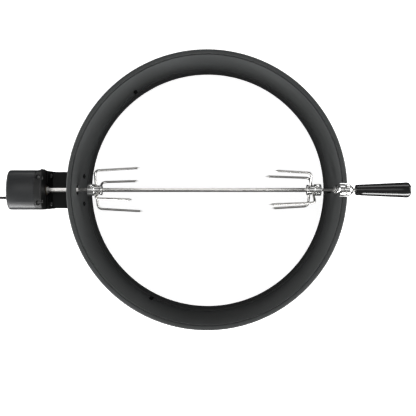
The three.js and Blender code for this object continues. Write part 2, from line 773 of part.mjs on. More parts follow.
// The phase that puts a driven gear's gap where the driver has a tooth.
function meshedPhase(driver, driven, driverTeeth, drivenTeeth, driverPhase) {
  const facing = Math.atan2(driven.z - driver.z, driven.y - driver.y);
  const turn = facing - driverPhase;
  return facing + Math.PI + Math.PI / drivenTeeth + (turn * driverTeeth) / drivenTeeth;
}

function gearX(teeth, m, phase, { from, to }, { y, z }) {
  return slab(gearShape(teeth, m, phase), from, to).translate(0, y, z);
}

// Where each wheel and the gear plate lie along X.
function findPlaces() {
  const w = wheels;
  const place = (to, width) => ({ from: to - width, to });
  const inner = motor.front - motor.frontWall;
  const last = place(inner - w.frontClearance, w.lastWidth);
  const middle = place(last.from - w.middleGap, w.middleWidth);
  const first = place(middle.from - w.firstGap, w.firstWidth);
  const plate = place(first.from - w.plateGap, w.plateThickness);
  const can = place(plate.from - GAP, stator.length - GAP);
  return { inner, last, middle, first, plate, can };
}

function buildGears() {
  const { last, middle, first, axleRadius } = train;
  const places = findPlaces();
  const bore = axleRadius + 0.2;

  const output = toSolid(gearX(last.wheel, last.module, 0, places.last, axes.output))
    .add(toSolid(rodX(hub.radius, hub.rear, hub.front, 0, spitHeight, 28)))
    .subtract(toSolid(squareX(hub.socket, hub.rear - 1, hub.front + 1)));
  add('output_gear', toGeometry(output), 'zinc');

  const turnTwo = meshedPhase(axes.output, axes.second, last.wheel, last.pinion, 0);
  const reachTwo = { from: places.middle.to - 1, to: places.last.to + GAP };
  const pinionTwo = gearX(last.pinion, last.module, turnTwo, reachTwo, axes.second);
  const wheelTwo = gearX(middle.wheel, middle.module, 0, places.middle, axes.second);
  const boreTwo = rodX(bore, places.middle.from - 5, places.inner, axes.second.y, axes.second.z, 16);
  add('second_gear', carve([pinionTwo, wheelTwo], [boreTwo]), 'nylon');

  const turnOne = meshedPhase(axes.second, axes.first, middle.wheel, middle.pinion, 0);
  const reachOne = { from: places.first.to - 1, to: places.middle.to + 0.5 };
  const pinionOne = gearX(middle.pinion, middle.module, turnOne, reachOne, axes.first);
  const wheelOne = gearX(first.wheel, first.module, 0, places.first, axes.first);
  const boreOne = rodX(bore, places.first.from - 5, places.inner, axes.first.y, axes.first.z, 16);
  add('first_gear', carve([pinionOne, wheelOne], [boreOne]), 'nylon');

  const turnRotor = meshedPhase(axes.first, axes.rotor, first.wheel, first.pinion, 0);
  const reachRotor = { from: places.plate.to + 0.5, to: places.first.to + 0.5 };
  const { y, z } = axes.rotor;
  const rotor = carve([
    gearX(first.pinion, first.module, turnRotor, reachRotor, axes.rotor),
    rodX(rotorPiece.shaftRadius, places.can.from - 1, places.plate.to + 1, y, z, 12),
    rodX(rotorPiece.magnetRadius, places.can.from + 4, places.can.to - 2, y, z, 20),
  ]);
  add('rotor', rotor, 'magnet');
}

function buildStator() {
  const { outerRadius: outer, sheet, shaftHole, windingRadius } = stator;
  const { from, to } = findPlaces().can;
  const { y, z } = axes.rotor;
  const inner = outer - sheet;
  const can = turnedX([
    [from, shaftHole], [from, outer], [to, outer], [to, inner], [from + sheet, inner],
    [from + sheet, shaftHole], [from, shaftHole],
  ], 24);
  add('stator_can', can.translate(0, y, z), 'zinc');
  const winding = pipe(windingRadius, inner - GAP, from + 3, to - 1.5, 24).rotateZ(-Math.PI / 2);
  add('field_coil', winding.translate(0, y, z), 'copper');
}

function buildPlate() {
  const { inner, plate } = findPlaces();
  const [behind, before] = [plate.from - 1, plate.to + 1];
  const { axleRadius } = train;
  const holes = [
    rodX(hub.radius + 0.5, behind, before, 0, spitHeight, 24),
    rodX(rotorPiece.shaftRadius + 1.8, behind, before, axes.rotor.y, axes.rotor.z, 12),
    ...[axes.second, axes.first].map(({ y, z }) => rodX(axleRadius + GAP, behind, before, y, z, 12)),
    ...housingScrews.map(({ y, z }) => rodX(motor.bossRadius + 2 * GAP, behind, before, y, z, 12)),
  ];
  add('gear_plate', carve([slab(motorOutline(motor.wall + 0.9), plate.from, plate.to)], holes), 'zinc');
  [axes.second, axes.first].forEach(({ y, z }, i) => {
    const end = motor.front - motor.frontWall / 2 - GAP;
    add(`gear_axle_${i + 1}`, rodX(axleRadius, plate.from, end, y, z, 12), 'steel');
  });

  const { outer, flange, flangeThickness } = bearing;
  const bore = hub.radius + 0.2;
  const face = motor.front + GAP;
  const bush = turnedX([
    [inner, bore], [inner, outer], [face, outer], [face, flange], [face + flangeThickness, flange],
    [face + flangeThickness, bore], [inner, bore],
  ], 24).translate(0, 0, spitHeight);
  add('output_bearing', bush, 'brass');
}

// ---- switch ---------------------------------------------------------------------------------

function buildSwitch() {
  const { x, z, width, height, depth, rim, lip, wall } = switchPiece;
  const side = motor.width / 2;
  const block = (more, from, to, extra) => {
    const [w, h] = [width / 2 + more, height / 2 + extra];
    return box(x - w, x + w, from, to, z - h, z + h);
  };
  const body = carve(
    [block(0, side - depth, side + 1, 0), block(lip, side + GAP, side + rim, rim)],
    [block(-wall, side - 5, side + 5, -wall)],
  );
  add('switch_body', body, 'darkPlastic');
  const long = height / 2 - 1.7;
  const shape = new THREE.Shape();
  shape.moveTo(side - 2.2, z - long + 1);
  shape.lineTo(side + 3.4, z - long);
  shape.quadraticCurveTo(side + 1.2, z, side + 3.4, z + long);
  shape.lineTo(side - 2.2, z + long - 1);
  shape.closePath();
  add('switch_rocker', slab(shape, x - width / 2 + 1.3, x + width / 2 - 1.3), 'coated');
}

// ---- cord, plug -----------------------------------------------------------------------------

// The cord's run from the gland down to the floor and to the coil.
const cordRun = [
  [-439.3, -17, 70], [-448, -17, 69.7], [-459, -17, 67.2], [-469.5, -17, 61], [-478, -17, 51.5],
  [-484.5, -17, 40], [-490, -16.9, 28], [-496.5, -16.6, 16.5], [-505, -16, 8], [-514.5, -15.3, 4.5],
];
// The cord's short run from the coil to the plug.
const cordTail = [
  [-585.5, -81, 9.6], [-587.5, -92, 8.6], [-589, -104, 7.4], [-589.5, -116, 6.9], [-589.5, -123.7, 6.9],
];

function cordTube(points) {
  const places = points.map((p) => new THREE.Vector3(...p));
  const curve = new THREE.CatmullRomCurve3(places, false, 'centripetal');
  const section = new THREE.Shape();
  section.absarc(0, 0, cord.radius, 0, Math.PI * 2);
  const steps = Math.ceil(curve.getLength() / (cord.radius * 5));
  const options = { steps, extrudePath: curve, curveSegments: cord.sides };
  return outward(new THREE.ExtrudeGeometry(section, options));
}

function buildCord() {
  const { length, flangeRadius, flangeThickness, neckRadius, rootRadius, tipRadius } = gland;
  const inside = motor.rear + motor.wall + 2;
  const seat = motor.rear - GAP;
  const sleeve = turnedX([
    [inside, 0], [inside, neckRadius], [seat, neckRadius], [seat, flangeRadius],
    [seat - flangeThickness, flangeRadius], [seat - flangeThickness, rootRadius],
    [motor.rear - length, tipRadius], [motor.rear - length, 0],
  ], 16);
  add('cord_gland', sleeve.translate(0, cord.exitY, cord.exitZ), 'cable');
  add('mains_cord', cordTube(cordRun), 'cable');
  add('cord_tail', cordTube(cordTail), 'cable');

  const wide = coil.turnsWide * cord.radius;
  const high = coil.low + coil.turnsHigh * cord.radius * 2;
  const { middleRadius: m, low } = coil;
  const bundle = turnedZ([
    [low, m - wide + 1], [low, m + wide - 1], [low + 1, m + wide], [high - 1, m + wide],
    [high, m + wide - 1], [high, m - wide + 1], [high - 1, m - wide], [low + 1, m - wide],
    [low, m - wide + 1],
  ], 36);
  add('cord_coil', bundle.translate(coil.x, coil.y, 0), 'cable');

  // The tie is a thin strap once round the bundle of turns.
  const { strap, slack } = tie;
  const half = tie.width / 2;
  const [near, far] = [m - wide - 3 * slack, m + wide + slack];
  const outer = box(near - strap, far + strap, -half, half, low - slack - strap, high + slack + strap);
  const hole = box(near, far, -half - 1, half + 1, low - slack, high + slack);
  const strapped = carve([outer], [hole]).rotateZ(rad(tie.angle));
  add('cord_tie', strapped.translate(coil.x, coil.y, 0), 'darkPlastic');
}

function buildPlug() {
  const { length, width, neckWidth, neckLength, thickness, rounding } = plug;
  const { pinRadius, pinLength, pinGap } = plug;
  const [x, cordEnd, z] = cordTail[cordTail.length - 1];
  const start = cordEnd - GAP;
  const [neck, wide, shoulder] = [neckWidth / 2, width / 2, -length * 0.55];
  const shape = new THREE.Shape();
  shape.moveTo(-neck, 0);
  shape.lineTo(neck, 0);
  shape.lineTo(neck + 1, -neckLength);
  shape.lineTo(wide, shoulder);
  shape.lineTo(wide, -length);
  shape.lineTo(-wide, -length);
  shape.lineTo(-wide, shoulder);
  shape.lineTo(-neck - 1, -neckLength);
  shape.closePath();
  const shell = new THREE.ExtrudeGeometry(shape, {
    depth: thickness - 2 * rounding,
    bevelEnabled: true,
    bevelSize: rounding,
    bevelOffset: -rounding,
    bevelThickness: rounding,
    bevelSegments: 2,
  }).translate(x, start, z - thickness / 2 + rounding);
  const face = start - length;
  const sides = [-pinGap / 2, pinGap / 2];
  const bores = sides.map((s) =>
    rod(pinRadius + GAP, face - 1, face + plug.pinDepth, 12).translate(x + s, 0, z));
  add('plug_body', carve([shell], bores), 'cable');
  sides.forEach((s, i) => {
    const [tip, root, chamfer] = [face - pinLength, face + plug.pinDepth - 0.5, 0.8];
    const profile = [
      [tip, 0], [tip, pinRadius - chamfer], [tip + chamfer, pinRadius], [root, pinRadius], [root, 0],
    ];
    add(`plug_pin_${i + 1}`, turned(profile, 12).translate(x + s, 0, z), 'zinc');
  });
}

buildRing();
buildBracket();
buildSpit();
buildHandle();
forks.forEach(buildFork);
buildShell();
buildFront();
buildHousingScrews();
buildGears();
buildStator();
buildPlate();
buildSwitch();
buildCord();
buildPlug();

model.position.x = -(motor.rear + handle.end) / 2;
const rotisserie = new THREE.Group();
rotisserie.add(model);

export default rotisserie;
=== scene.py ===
"""Looks for a rotisserie ring kit: a steel ring for a round kettle barbecue, with a geared motor on a
bracket, a square spit with two meat forks, a grooved bushing, a collar and a handle.
Metres, +Z up. The spit lies along X, with the motor at -X and the handle at +X."""

import math

import bmesh
import bpy
from bpy.props import FloatProperty, FloatVectorProperty, IntProperty, PointerProperty
from mathutils import Matrix, Vector


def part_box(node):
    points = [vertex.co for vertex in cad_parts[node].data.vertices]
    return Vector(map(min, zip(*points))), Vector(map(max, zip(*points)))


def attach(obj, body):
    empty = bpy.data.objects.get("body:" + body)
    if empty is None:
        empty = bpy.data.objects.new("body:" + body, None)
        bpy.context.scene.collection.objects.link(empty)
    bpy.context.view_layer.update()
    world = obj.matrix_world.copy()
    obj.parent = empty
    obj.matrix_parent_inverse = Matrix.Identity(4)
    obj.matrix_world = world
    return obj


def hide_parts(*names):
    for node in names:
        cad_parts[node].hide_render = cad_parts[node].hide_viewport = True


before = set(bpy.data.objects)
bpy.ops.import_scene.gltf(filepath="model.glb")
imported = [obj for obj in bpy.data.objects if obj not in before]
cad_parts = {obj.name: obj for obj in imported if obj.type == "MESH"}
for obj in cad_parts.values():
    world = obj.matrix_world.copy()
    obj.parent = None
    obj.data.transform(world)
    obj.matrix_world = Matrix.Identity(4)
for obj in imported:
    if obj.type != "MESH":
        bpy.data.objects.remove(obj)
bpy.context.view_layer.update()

bl_info = {
    "name": "Rotisserie Ring Kit",
    "version": (1, 0, 0),
    "blender": (4, 5, 0),
    "location": "3D View > Sidebar > Rotisserie",
    "description": "Builds the finished look of a barbecue rotisserie ring around its packed model",
    "category": "Object",
}

MM = 0.001
RING_LOW, RING_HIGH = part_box("ring_shell")
BAR_LOW, BAR_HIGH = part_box("spit_bar")
RING_X = RING_LOW.x + (RING_HIGH.y - RING_LOW.y) / 2
AXIS_Z = (BAR_LOW.z + BAR_HIGH.z) / 2
FLAT_TURN = math.radians(55)  # from +Y to the flat of the bar that the set screws press
SQUARE_END = 0.236  # from the ring's axis to where the bar turns round
TINE_BEND_OUT = 0.0436  # from the spit's axis to the bend of a tine
TINE_POINT_OUT = 0.0495  # from the spit's axis to the point of a tine
CAMERA_HEIGHT = 1.14  # above the rim
SKY_LOW, SKY_HIGH = 0.10, 0.12


def spot(x, y, z):
    """A place in metres from millimetres measured from the ring's own axis."""
    return Vector((RING_X + x * MM, y * MM, z * MM))


# ---- sizes and colours that a user may change ------------------------------------------------


def length(name, description, default):
    return FloatProperty(
        name=name, description=description, default=default, min=0.0, unit="LENGTH", precision=4
    )


def colour(name, description, default):
    return FloatVectorProperty(
        name=name, description=description, default=default, size=3, min=0.0, max=1.0, subtype="COLOR"
    )


class RingSizes(bpy.types.PropertyGroup):
    """Sizes of the ring's sheet and its studs"""

    rim_radius: length("Rim radius", "Outside of the rim", RING_HIGH.y)
    wall_radius: length("Wall radius", "Inside of the wall", 0.2725)
    spigot_radius: length("Spigot radius", "Inside of the band that drops into the bowl", 0.2675)
    spigot_height: length("Spigot height", "Height of the ledge", 0.036)
    sheet: length("Sheet", "Thickness of the steel", 0.0012)
    skirt: length("Skirt", "Height of the rim's turned-down edge", 0.020)
    bend: length("Bend", "Outer radius of the rim's bends", 0.0035)
    sides: IntProperty(name="Sides", description="Segments round the ring", default=240, min=48, max=720)


class SpitSizes(bpy.types.PropertyGroup):
    """Sizes of the bar and of what sits on it"""

    bar_side: length("Bar side", "Side of the square bar", 0.0064)
    bar_edge: length("Bar edge", "Rounding of the bar's edges", 0.0006)
    wire_radius: length("Wire radius", "Radius of a fork's wire", 0.0024)
    tine_bend: length("Tine bend", "Radius of a tine's bend", 0.0095)
    screw_head: length("Screw head", "Radius of a set screw's head", 0.0042)


class MotorSizes(bpy.types.PropertyGroup):
    """Sizes of the motor's case"""

    rounding: length("Rear rounding", "Rounding of the case's rear edge", 0.005)
    wall: length("Case wall", "Thickness of the case", 0.0025)


class CordSizes(bpy.types.PropertyGroup):
    """Sizes of the mains cord"""

    diameter: length("Cord diameter", "Diameter of the cord", 0.006)
    coil_turns: IntProperty(
        name="Coil turns", description="Whole turns in the coil", default=6, min=1, max=12
    )


class FinishColours(bpy.types.PropertyGroup):
    """Colours of the finishes"""

    ring: colour("Ring", "Heat-proof coating of the ring", (0.039, 0.041, 0.041))
    bracket: colour("Bracket", "Coating of the bracket and its bolts", (0.004, 0.0045, 0.0045))
    shell: colour("Motor shell", "Rear shell of the motor", (0.029, 0.0303, 0.0317))
    front: colour("Motor front", "Front housing of the motor", (0.013, 0.0135, 0.0135))
    grip: colour("Handle", "Glossy handle", (0.008, 0.008, 0.008))
    steel: colour("Bar steel", "Bar and tines", (0.62, 0.61, 0.59))
    cable: colour("Cord", "Sheath of the cord", (0.011, 0.011, 0.012))
    floor: colour("Floor", "Floor under the kit", (0.92, 0.92, 0.92))


# ---- shader nodes ----------------------------------------------------------------------------


class Wire:
    """A number out of a shader node, with ordinary arithmetic on it"""

    def __init__(self, finish, socket):
        self.finish = finish
        self.socket = socket

    def math(self, operation, first, second):
        return self.finish.node("ShaderNodeMath", {"operation": operation}, {0: first, 1: second})

    def __add__(self, other):
        return self.math("ADD", self, other)

    __radd__ = __add__

    def __sub__(self, other):
        return self.math("SUBTRACT", self, other)

    def __rsub__(self, other):
        return self.math("SUBTRACT", other, self)

    def __mul__(self, other):
        return self.math("MULTIPLY", self, other)

    __rmul__ = __mul__

    def __pow__(self, other):
        return self.math("POWER", self, other)


class Finish:
    """One material and the nodes that feed its surface shader"""

    def __init__(self, name, fixed=None):
        self.material = bpy.data.materials.new(name)
        self.material.use_nodes = True
        self.tree = self.material.node_tree
        self.surface = self.tree.nodes["Principled BSDF"]
        for key, value in (fixed or {}).items():
            self.surface.inputs[key].default_value = value

    def node(self, kind, settings, sockets, out=0):
        made = self.tree.nodes.new(kind)
        for key, value in settings.items():
            if key == "stops":
                ramp = made.color_ramp
                while len(ramp.elements) < len(value):
                    ramp.elements.new(0.5)
                for element, (place, shade) in zip(ramp.elements, value):
                    element.position = place
                    element.color = shade
            else:
                setattr(made, key, value)
        for key, value in sockets.items():
            if isinstance(value, Wire):
                self.tree.links.new(value.socket, made.inputs[key])
            else:
                made.inputs[key].default_value = value
        return Wire(self, made.outputs[out])

    def place(self, stretch=(1.0, 1.0, 1.0)):
        where = self.node("ShaderNodeTexCoord", {}, {}, "Object")
        return self.node("ShaderNodeMapping", {}, {"Vector": where, "Scale": stretch})

    def noise(self, scale, detail=3.0, stretch=(1.0, 1.0, 1.0)):
        sockets = {"Vector": self.place(stretch), "Scale": scale, "Detail": detail, "Roughness": 0.6}
        return self.node("ShaderNodeTexNoise", {}, sockets, "Fac")

    def between(self, value, low, high):
        """A share that grows from 0 to 1 as a value goes from low to high"""
        return self.node("ShaderNodeMapRange", {}, {"Value": value, "From Min": low, "From Max": high})

    def outside_painted_shade(self, centre, radius, height):
        """A share that is 0 inside a radius about +Z and under a height, and 1 elsewhere; it masks painted
        shade
        """
        where = self.node("ShaderNodeTexCoord", {}, {}, "Object")
        sockets = {0: where, 1: (1, 1, 0), 2: (-centre, 0, 0)}
        flat = self.node("ShaderNodeVectorMath", {"operation": "MULTIPLY_ADD"}, sockets)
        reach = self.node("ShaderNodeVectorMath", {"operation": "LENGTH"}, {0: flat}, "Value")
        level = self.node("ShaderNodeSeparateXYZ", {}, {"Vector": where}, "Z")
        over = self.between(level, height - 0.001, height + 0.006)
        out = self.between(reach, radius - 0.0002, radius + 0.0002)
        return over + out - over * out

    def cells(self, scale):
        sockets = {"Vector": self.place(), "Scale": scale}
        return self.node("ShaderNodeTexVoronoi", {"feature": "SMOOTH_F1"}, sockets, "Distance")

    def bands(self, scale):
        settings = {"wave_type": "BANDS", "bands_direction": "X", "wave_profile": "SIN"}
        return self.node("ShaderNodeTexWave", settings, {"Vector": self.place(), "Scale": scale}, "Fac")

    def mix(self, factor, first, second):
        sockets = {0: factor, 6: (*first, 1.0), 7: (*second, 1.0)}
        return self.node("ShaderNodeMix", {"data_type": "RGBA"}, sockets, 2)

    def feed(self, **sockets):
        for key, value in sockets.items():
            self.tree.links.new(value.socket, self.surface.inputs[key.replace("_", " ")])

    def bump(self, height, strength, distance):
        sockets = {"Height": height, "Strength": strength, "Distance": distance}
        self.feed(Normal=self.node("ShaderNodeBump", {}, sockets))


def shade(rgb, factor):
    return tuple(min(1.0, c * factor) for c in rgb)


def powder_coat(name, rgb, roughness, grain, shine, mottle=1.35, painted_shade_band=None):
    """Baked coating: fine orange peel, cloudy patches, specks, and painted shade that turns the coat darker
    low on the inside, under the ledge
    """
    finish = Finish(name, {"Specular IOR Level": shine})
    cloud = finish.noise(7.0, 4.0)
    peel = finish.noise(grain, 2.0)
    speck = finish.cells(grain * 0.6) ** 3.0
    tone = cloud * 0.6 + peel * 0.4
    if painted_shade_band:
        # painted shade: inside the spigot, under the ledge, the coat is drawn to its darkest tone
        tone = tone * finish.outside_painted_shade(*painted_shade_band)
    finish.feed(Base_Color=finish.mix(tone, shade(rgb, 1 / mottle), shade(rgb, mottle)))
    finish.feed(Roughness=roughness - 0.06 + cloud * 0.08 + peel * 0.06)
    finish.bump(peel * 0.7 + speck * 0.3, 0.35, 0.00005)
    return finish.material


def moulded_plastic(name, rgb, roughness, grain, depth=0.00004, coat=0.0):
    """Moulded plastic: an even spark-eroded texture with faint flow marks"""
    finish = Finish(name, {"Specular IOR Level": 0.5, "Coat Weight": coat, "Coat Roughness": 0.06})
    texture = finish.cells(grain)
    flow = finish.noise(11.0, 3.0, (0.4, 1.0, 1.0))
    finish.feed(Base_Color=finish.mix(texture * 0.5 + flow * 0.5, shade(rgb, 0.86), shade(rgb, 1.16)))
    finish.feed(Roughness=roughness - 0.05 + flow * 0.06 + texture * 0.06)
    finish.bump(texture, 0.3, depth)
    return finish.material


def drawn_steel(name, rgb, roughness, stretch):
    """Drawn or brushed metal: fine lines along the way it was drawn, with faint stains"""
    finish = Finish(name, {"Metallic": 1.0})
    lines = finish.noise(2600.0, 2.0, stretch)
    stain = finish.noise(26.0, 4.0)
    finish.feed(Base_Color=finish.mix(lines * 0.5 + stain * 0.5, shade(rgb, 0.82), shade(rgb, 1.12)))
    finish.feed(Roughness=roughness - 0.08 + lines * 0.1 + stain * 0.08)
    finish.bump(lines, 0.18, 0.00002)
    return finish.material


def plating(name, rgb, roughness):
    """Polished plating with faint smears and a slight waviness"""
    finish = Finish(name, {"Metallic": 1.0})
    smear = finish.noise(60.0, 3.0, (1.0, 2.5, 2.5))
    wave = finish.noise(140.0, 1.0)
    finish.feed(Base_Color=finish.mix(smear, shade(rgb, 0.9), shade(rgb, 1.04)))
    finish.feed(Roughness=roughness + smear * 0.07)
    finish.bump(wave, 0.06, 0.00004)
    return finish.material


def zinc_plate(name, rgb, roughness=0.34):
    """Zinc plating with its small bright flakes"""
    finish = Finish(name, {"Metallic": 1.0})
    flake = finish.cells(900.0)
    cloud = finish.noise(70.0, 3.0)
    finish.feed(Base_Color=finish.mix(flake * 0.6 + cloud * 0.4, shade(rgb, 0.78), shade(rgb, 1.15)))
    finish.feed(Roughness=roughness - 0.06 + cloud * 0.14)
    finish.bump(flake, 0.12, 0.00002)
    return finish.material


def glossy_grip(name, rgb):
    """Glossy handle with a hard clear surface, faint ripples and fine dust"""
    finish = Finish(name, {"Coat Weight": 0.6, "Coat Roughness": 0.05})
    ripple = finish.noise(38.0, 2.0, (0.5, 1.0, 1.0))
    dust = finish.noise(1500.0, 2.0)
    finish.feed(Base_Color=finish.mix(dust * 0.5 + ripple * 0.5, shade(rgb, 0.85), shade(rgb, 1.2)))
    finish.feed(Roughness=0.14 + ripple * 0.08 + dust * 0.04)
    finish.bump(ripple, 0.12, 0.0002)
    return finish.material


def winding(name):
    """Enamelled copper wire laid in turns"""
    finish = Finish(name, {"Metallic": 0.85, "Coat Weight": 0.5, "Coat Roughness": 0.2})
    turns = finish.bands(560.0)
    tone = finish.noise(180.0, 3.0)
    finish.feed(Base_Color=finish.mix(tone, (0.42, 0.13, 0.045), (0.72, 0.29, 0.11)))
    finish.feed(Roughness=0.26 + tone * 0.16)
    finish.bump(turns, 0.8, 0.0003)
    return finish.material


def sintered(name, low, high, roughness, metallic):
    """A pressed and sintered body with open grain"""
    finish = Finish(name, {"Metallic": metallic})
    grain = finish.noise(1300.0, 4.0)
    finish.feed(Base_Color=finish.mix(grain, low, high))
    finish.feed(Roughness=roughness - 0.06 + grain * 0.14)
    finish.bump(grain, 0.3, 0.00004)
    return finish.material


def cord_sheath(name, rgb):
    """Soft matt sheath of a cord, with faint print of the strands under it"""
    finish = Finish(name, {"Specular IOR Level": 0.4})
    strand = finish.noise(420.0, 2.0)
    rub = finish.noise(24.0, 3.0)
    finish.feed(Base_Color=finish.mix(strand * 0.4 + rub * 0.6, shade(rgb, 0.7), shade(rgb, 1.5)))
    finish.feed(Roughness=0.42 + rub * 0.16 + strand * 0.06)
    finish.bump(strand, 0.2, 0.0001)
    return finish.material


_finishes = {}


def finish_named(name):
    """The material of a slot, made the first time that it is asked for"""
    if not _finishes:
        tones = bpy.context.scene.rotisserie_colours
        sizes = bpy.context.scene.rotisserie_ring
        # painted shade for the ring: the inside of the spigot, below the ledge, is drawn darker as if it lay
        # in shadow
        painted_shade_band = (RING_X, sizes.spigot_radius + sizes.sheet / 2, sizes.spigot_height - 0.001)
        _finishes.update({
            "ring": powder_coat("ring_coating", tuple(tones.ring), 0.50, 650.0, 0.3, 2.2, painted_shade_band),
            "bracket": powder_coat("bracket_coating", tuple(tones.bracket), 0.42, 900.0, 0.25),
            "shell": moulded_plastic("motor_shell_plastic", tuple(tones.shell), 0.34, 1500.0),
            "dark_plastic": moulded_plastic("motor_front_plastic", tuple(tones.front), 0.44, 1200.0),
            "rocker": moulded_plastic("rocker_plastic", (0.02, 0.02, 0.021), 0.26, 1800.0, 0.00001, 0.3),
            "steel": drawn_steel("drawn_steel", tuple(tones.steel), 0.27, (0.03, 1.0, 1.0)),
            "chrome": plating("polished_plating", (0.90, 0.90, 0.89), 0.20),
            "zinc": zinc_plate("zinc_plating", (0.56, 0.56, 0.54)),
            "dark_zinc": zinc_plate("blackened_zinc", (0.28, 0.28, 0.28), 0.38),
            "grip": glossy_grip("handle_gloss", tuple(tones.grip)),
            "copper": winding("copper_winding"),
            "nylon": moulded_plastic("gear_nylon", (0.72, 0.68, 0.57), 0.42, 900.0),
            "magnet": sintered("ferrite", (0.02, 0.02, 0.022), (0.07, 0.068, 0.066), 0.55, 0.2),
            "brass": sintered("sintered_bronze", (0.20, 0.165, 0.12), (0.34, 0.29, 0.22), 0.4, 1.0),
            "cable": cord_sheath("cord_sheath", tuple(tones.cable)),
        })
    return _finishes[name]


# ---- mesh helpers ----------------------------------------------------------------------------


def new_piece(name, mesh, slot, body, nodes=(), angle=32.0, material=None):
    mesh.materials.clear()
    mesh.materials.append(finish_named(material or slot))
    for polygon in mesh.polygons:
        polygon.use_smooth = True
        polygon.material_index = 0
    mesh.set_sharp_from_angle(angle=math.radians(angle))
    piece = bpy.data.objects.new(name, mesh)
    bpy.context.scene.collection.objects.link(piece)
    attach(piece, body)
    if nodes:
        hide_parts(*nodes)
    return piece


def mesh_from(name, points, faces):
    mesh = bpy.data.meshes.new(name)
    mesh.from_pydata([tuple(p) for p in points], [], faces)
    work = bmesh.new()
    work.from_mesh(mesh)
    bmesh.ops.remove_doubles(work, verts=work.verts, dist=1e-7)
    bmesh.ops.recalc_face_normals(work, faces=work.faces)
    work.to_mesh(mesh)
    work.free()
    return mesh


def loft(name, loops):
    """Skins loops of equally many points, with both ends capped"""
    count = len(loops[0])
    points = [p for loop in loops for p in loop]
    faces = []
    for a in range(len(loops) - 1):
        b = a + 1
        for k in range(count):
            n = (k + 1) % count
            faces.append((a * count + k, a * count + n, b * count + n, b * count + k))
    faces.append(tuple(range(count)))
    faces.append(tuple(reversed(range((len(loops) - 1) * count, len(loops) * count))))
    return mesh_from(name, points, faces)


def turned(name, profile, centre, axis="X", sides=64):
    """Turns (along, radius) points about an axis. A profile ends on the axis, or closes on itself"""
    hollow = profile[0][1] > 0
    x, y, z = Vector((1, 0, 0)), Vector((0, 1, 0)), Vector((0, 0, 1))
    along, out, side = (x, y, z) if axis == "X" else (z, x, y)
    points, faces, rings = [], [], []
    for place, radius in profile:
        start = len(points)
        count = 1 if radius <= 1e-9 else sides
        for k in range(count):
            a = 2 * math.pi * k / sides
            points.append(centre + along * place + (out * math.cos(a) + side * math.sin(a)) * radius)
        rings.append((start, count))
    pairs = list(zip(rings, rings[1:]))
    if hollow:
        pairs.append((rings[-1], rings[0]))
    for (a, na), (b, nb) in pairs:
        for k in range(sides):
            n = (k + 1) % sides
            corners = [a + k % na, a + n % na, b + n % nb, b + k % nb]
            face = [c for i, c in enumerate(corners) if c not in corners[:i]]
            if len(face) > 2:
                faces.append(tuple(face))
    return mesh_from(name, points, faces)


def arc(cx, cy, radius, start, end, steps):
    """Points (x, y) on an arc, with angles in degrees"""
    angles = [math.radians(start + (end - start) * i / steps) for i in range(steps + 1)]
    return [(cx + radius * math.cos(a), cy + radius * math.sin(a)) for a in angles]


def rounded(profile, radius, steps=4):
    """An open profile with each inner corner rounded by up to a radius"""
    result = [profile[0]]
    for before, corner, after in zip(profile, profile[1:], profile[2:]):
        b, c, a = Vector(before), Vector(corner), Vector(after)
        to_b, to_a = b - c, a - c
        reach = min(radius, to_b.length * 0.45, to_a.length * 0.45)
        if reach < 1e-7 or abs(to_b.normalized().cross(to_a.normalized())) < 0.05:
            result.append(corner)
            continue
        p, q = c + to_b.normalized() * reach, c + to_a.normalized() * reach
        for i in range(steps + 1):
            t = i / steps
            result.append(tuple(p * (1 - t) ** 2 + c * 2 * t * (1 - t) + q * t ** 2))
    result.append(profile[-1])
    return result


def cut(mesh, tools, operation="DIFFERENCE"):
    """The mesh with each tool mesh cut out of it, or joined to it"""
    base = bpy.data.objects.new("cut_base", mesh)
    bpy.context.scene.collection.objects.link(base)
    helpers = []
    for tool in tools:
        helper = bpy.data.objects.new("cut_tool", tool)
        bpy.context.scene.collection.objects.link(helper)
        helpers.append(helper)
        modifier = base.modifiers.new("cut", "BOOLEAN")
        modifier.operation = operation
        modifier.solver = "EXACT"
        modifier.object = helper
    graph = bpy.context.evaluated_depsgraph_get()
    result = bpy.data.meshes.new_from_object(base.evaluated_get(graph))
    for helper in [base, *helpers]:
        bpy.data.objects.remove(helper)
    return result


def bevelled(mesh, width, segments=2, angle=35.0):
    """The mesh with its sharp edges rounded"""
    holder = bpy.data.objects.new("bevel_base", mesh)
    bpy.context.scene.collection.objects.link(holder)
    modifier = holder.modifiers.new("edge", "BEVEL")
    modifier.width = width
    modifier.segments = segments
    modifier.limit_method = "ANGLE"
    modifier.angle_limit = math.radians(angle)
    modifier.use_clamp_overlap = True
    graph = bpy.context.evaluated_depsgraph_get()
    result = bpy.data.meshes.new_from_object(holder.evaluated_get(graph))
    bpy.data.objects.remove(holder)
    return result


def from_node(node, width, segments=2, angle=35.0):
    """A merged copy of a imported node's mesh, with its flat faces joined up and its edges rounded"""
    work = bmesh.new()
    work.from_mesh(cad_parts[node].data)
    bmesh.ops.remove_doubles(work, verts=work.verts, dist=1e-6)
    bmesh.ops.dissolve_limit(work, angle_limit=math.radians(1.0), verts=work.verts, edges=work.edges)
    mesh = bpy.data.meshes.new(node + "_fine")
    work.to_mesh(mesh)
    work.free()
    return bevelled(mesh, width, segments, angle)


def rod_mesh(radius, start, end, sides=32):
    """A plain rod between two points"""
    way = end - start
    turn = way.to_track_quat("Z", "Y").to_matrix().to_4x4()
    mesh = turned("rod", [(0, 0), (0, radius), (way.length, radius), (way.length, 0)], Vector(), "Z", sides)
    mesh.transform(Matrix.Translation(start) @ turn)
    return mesh


def block(low, high):
    """A plain box between two corners"""
    x, y, z = zip(low, high)
    corners = ((0, 0), (1, 0), (1, 1), (0, 1))
    return loft("block", [[Vector((a, y[i], z[j])) for i, j in corners] for a in x])


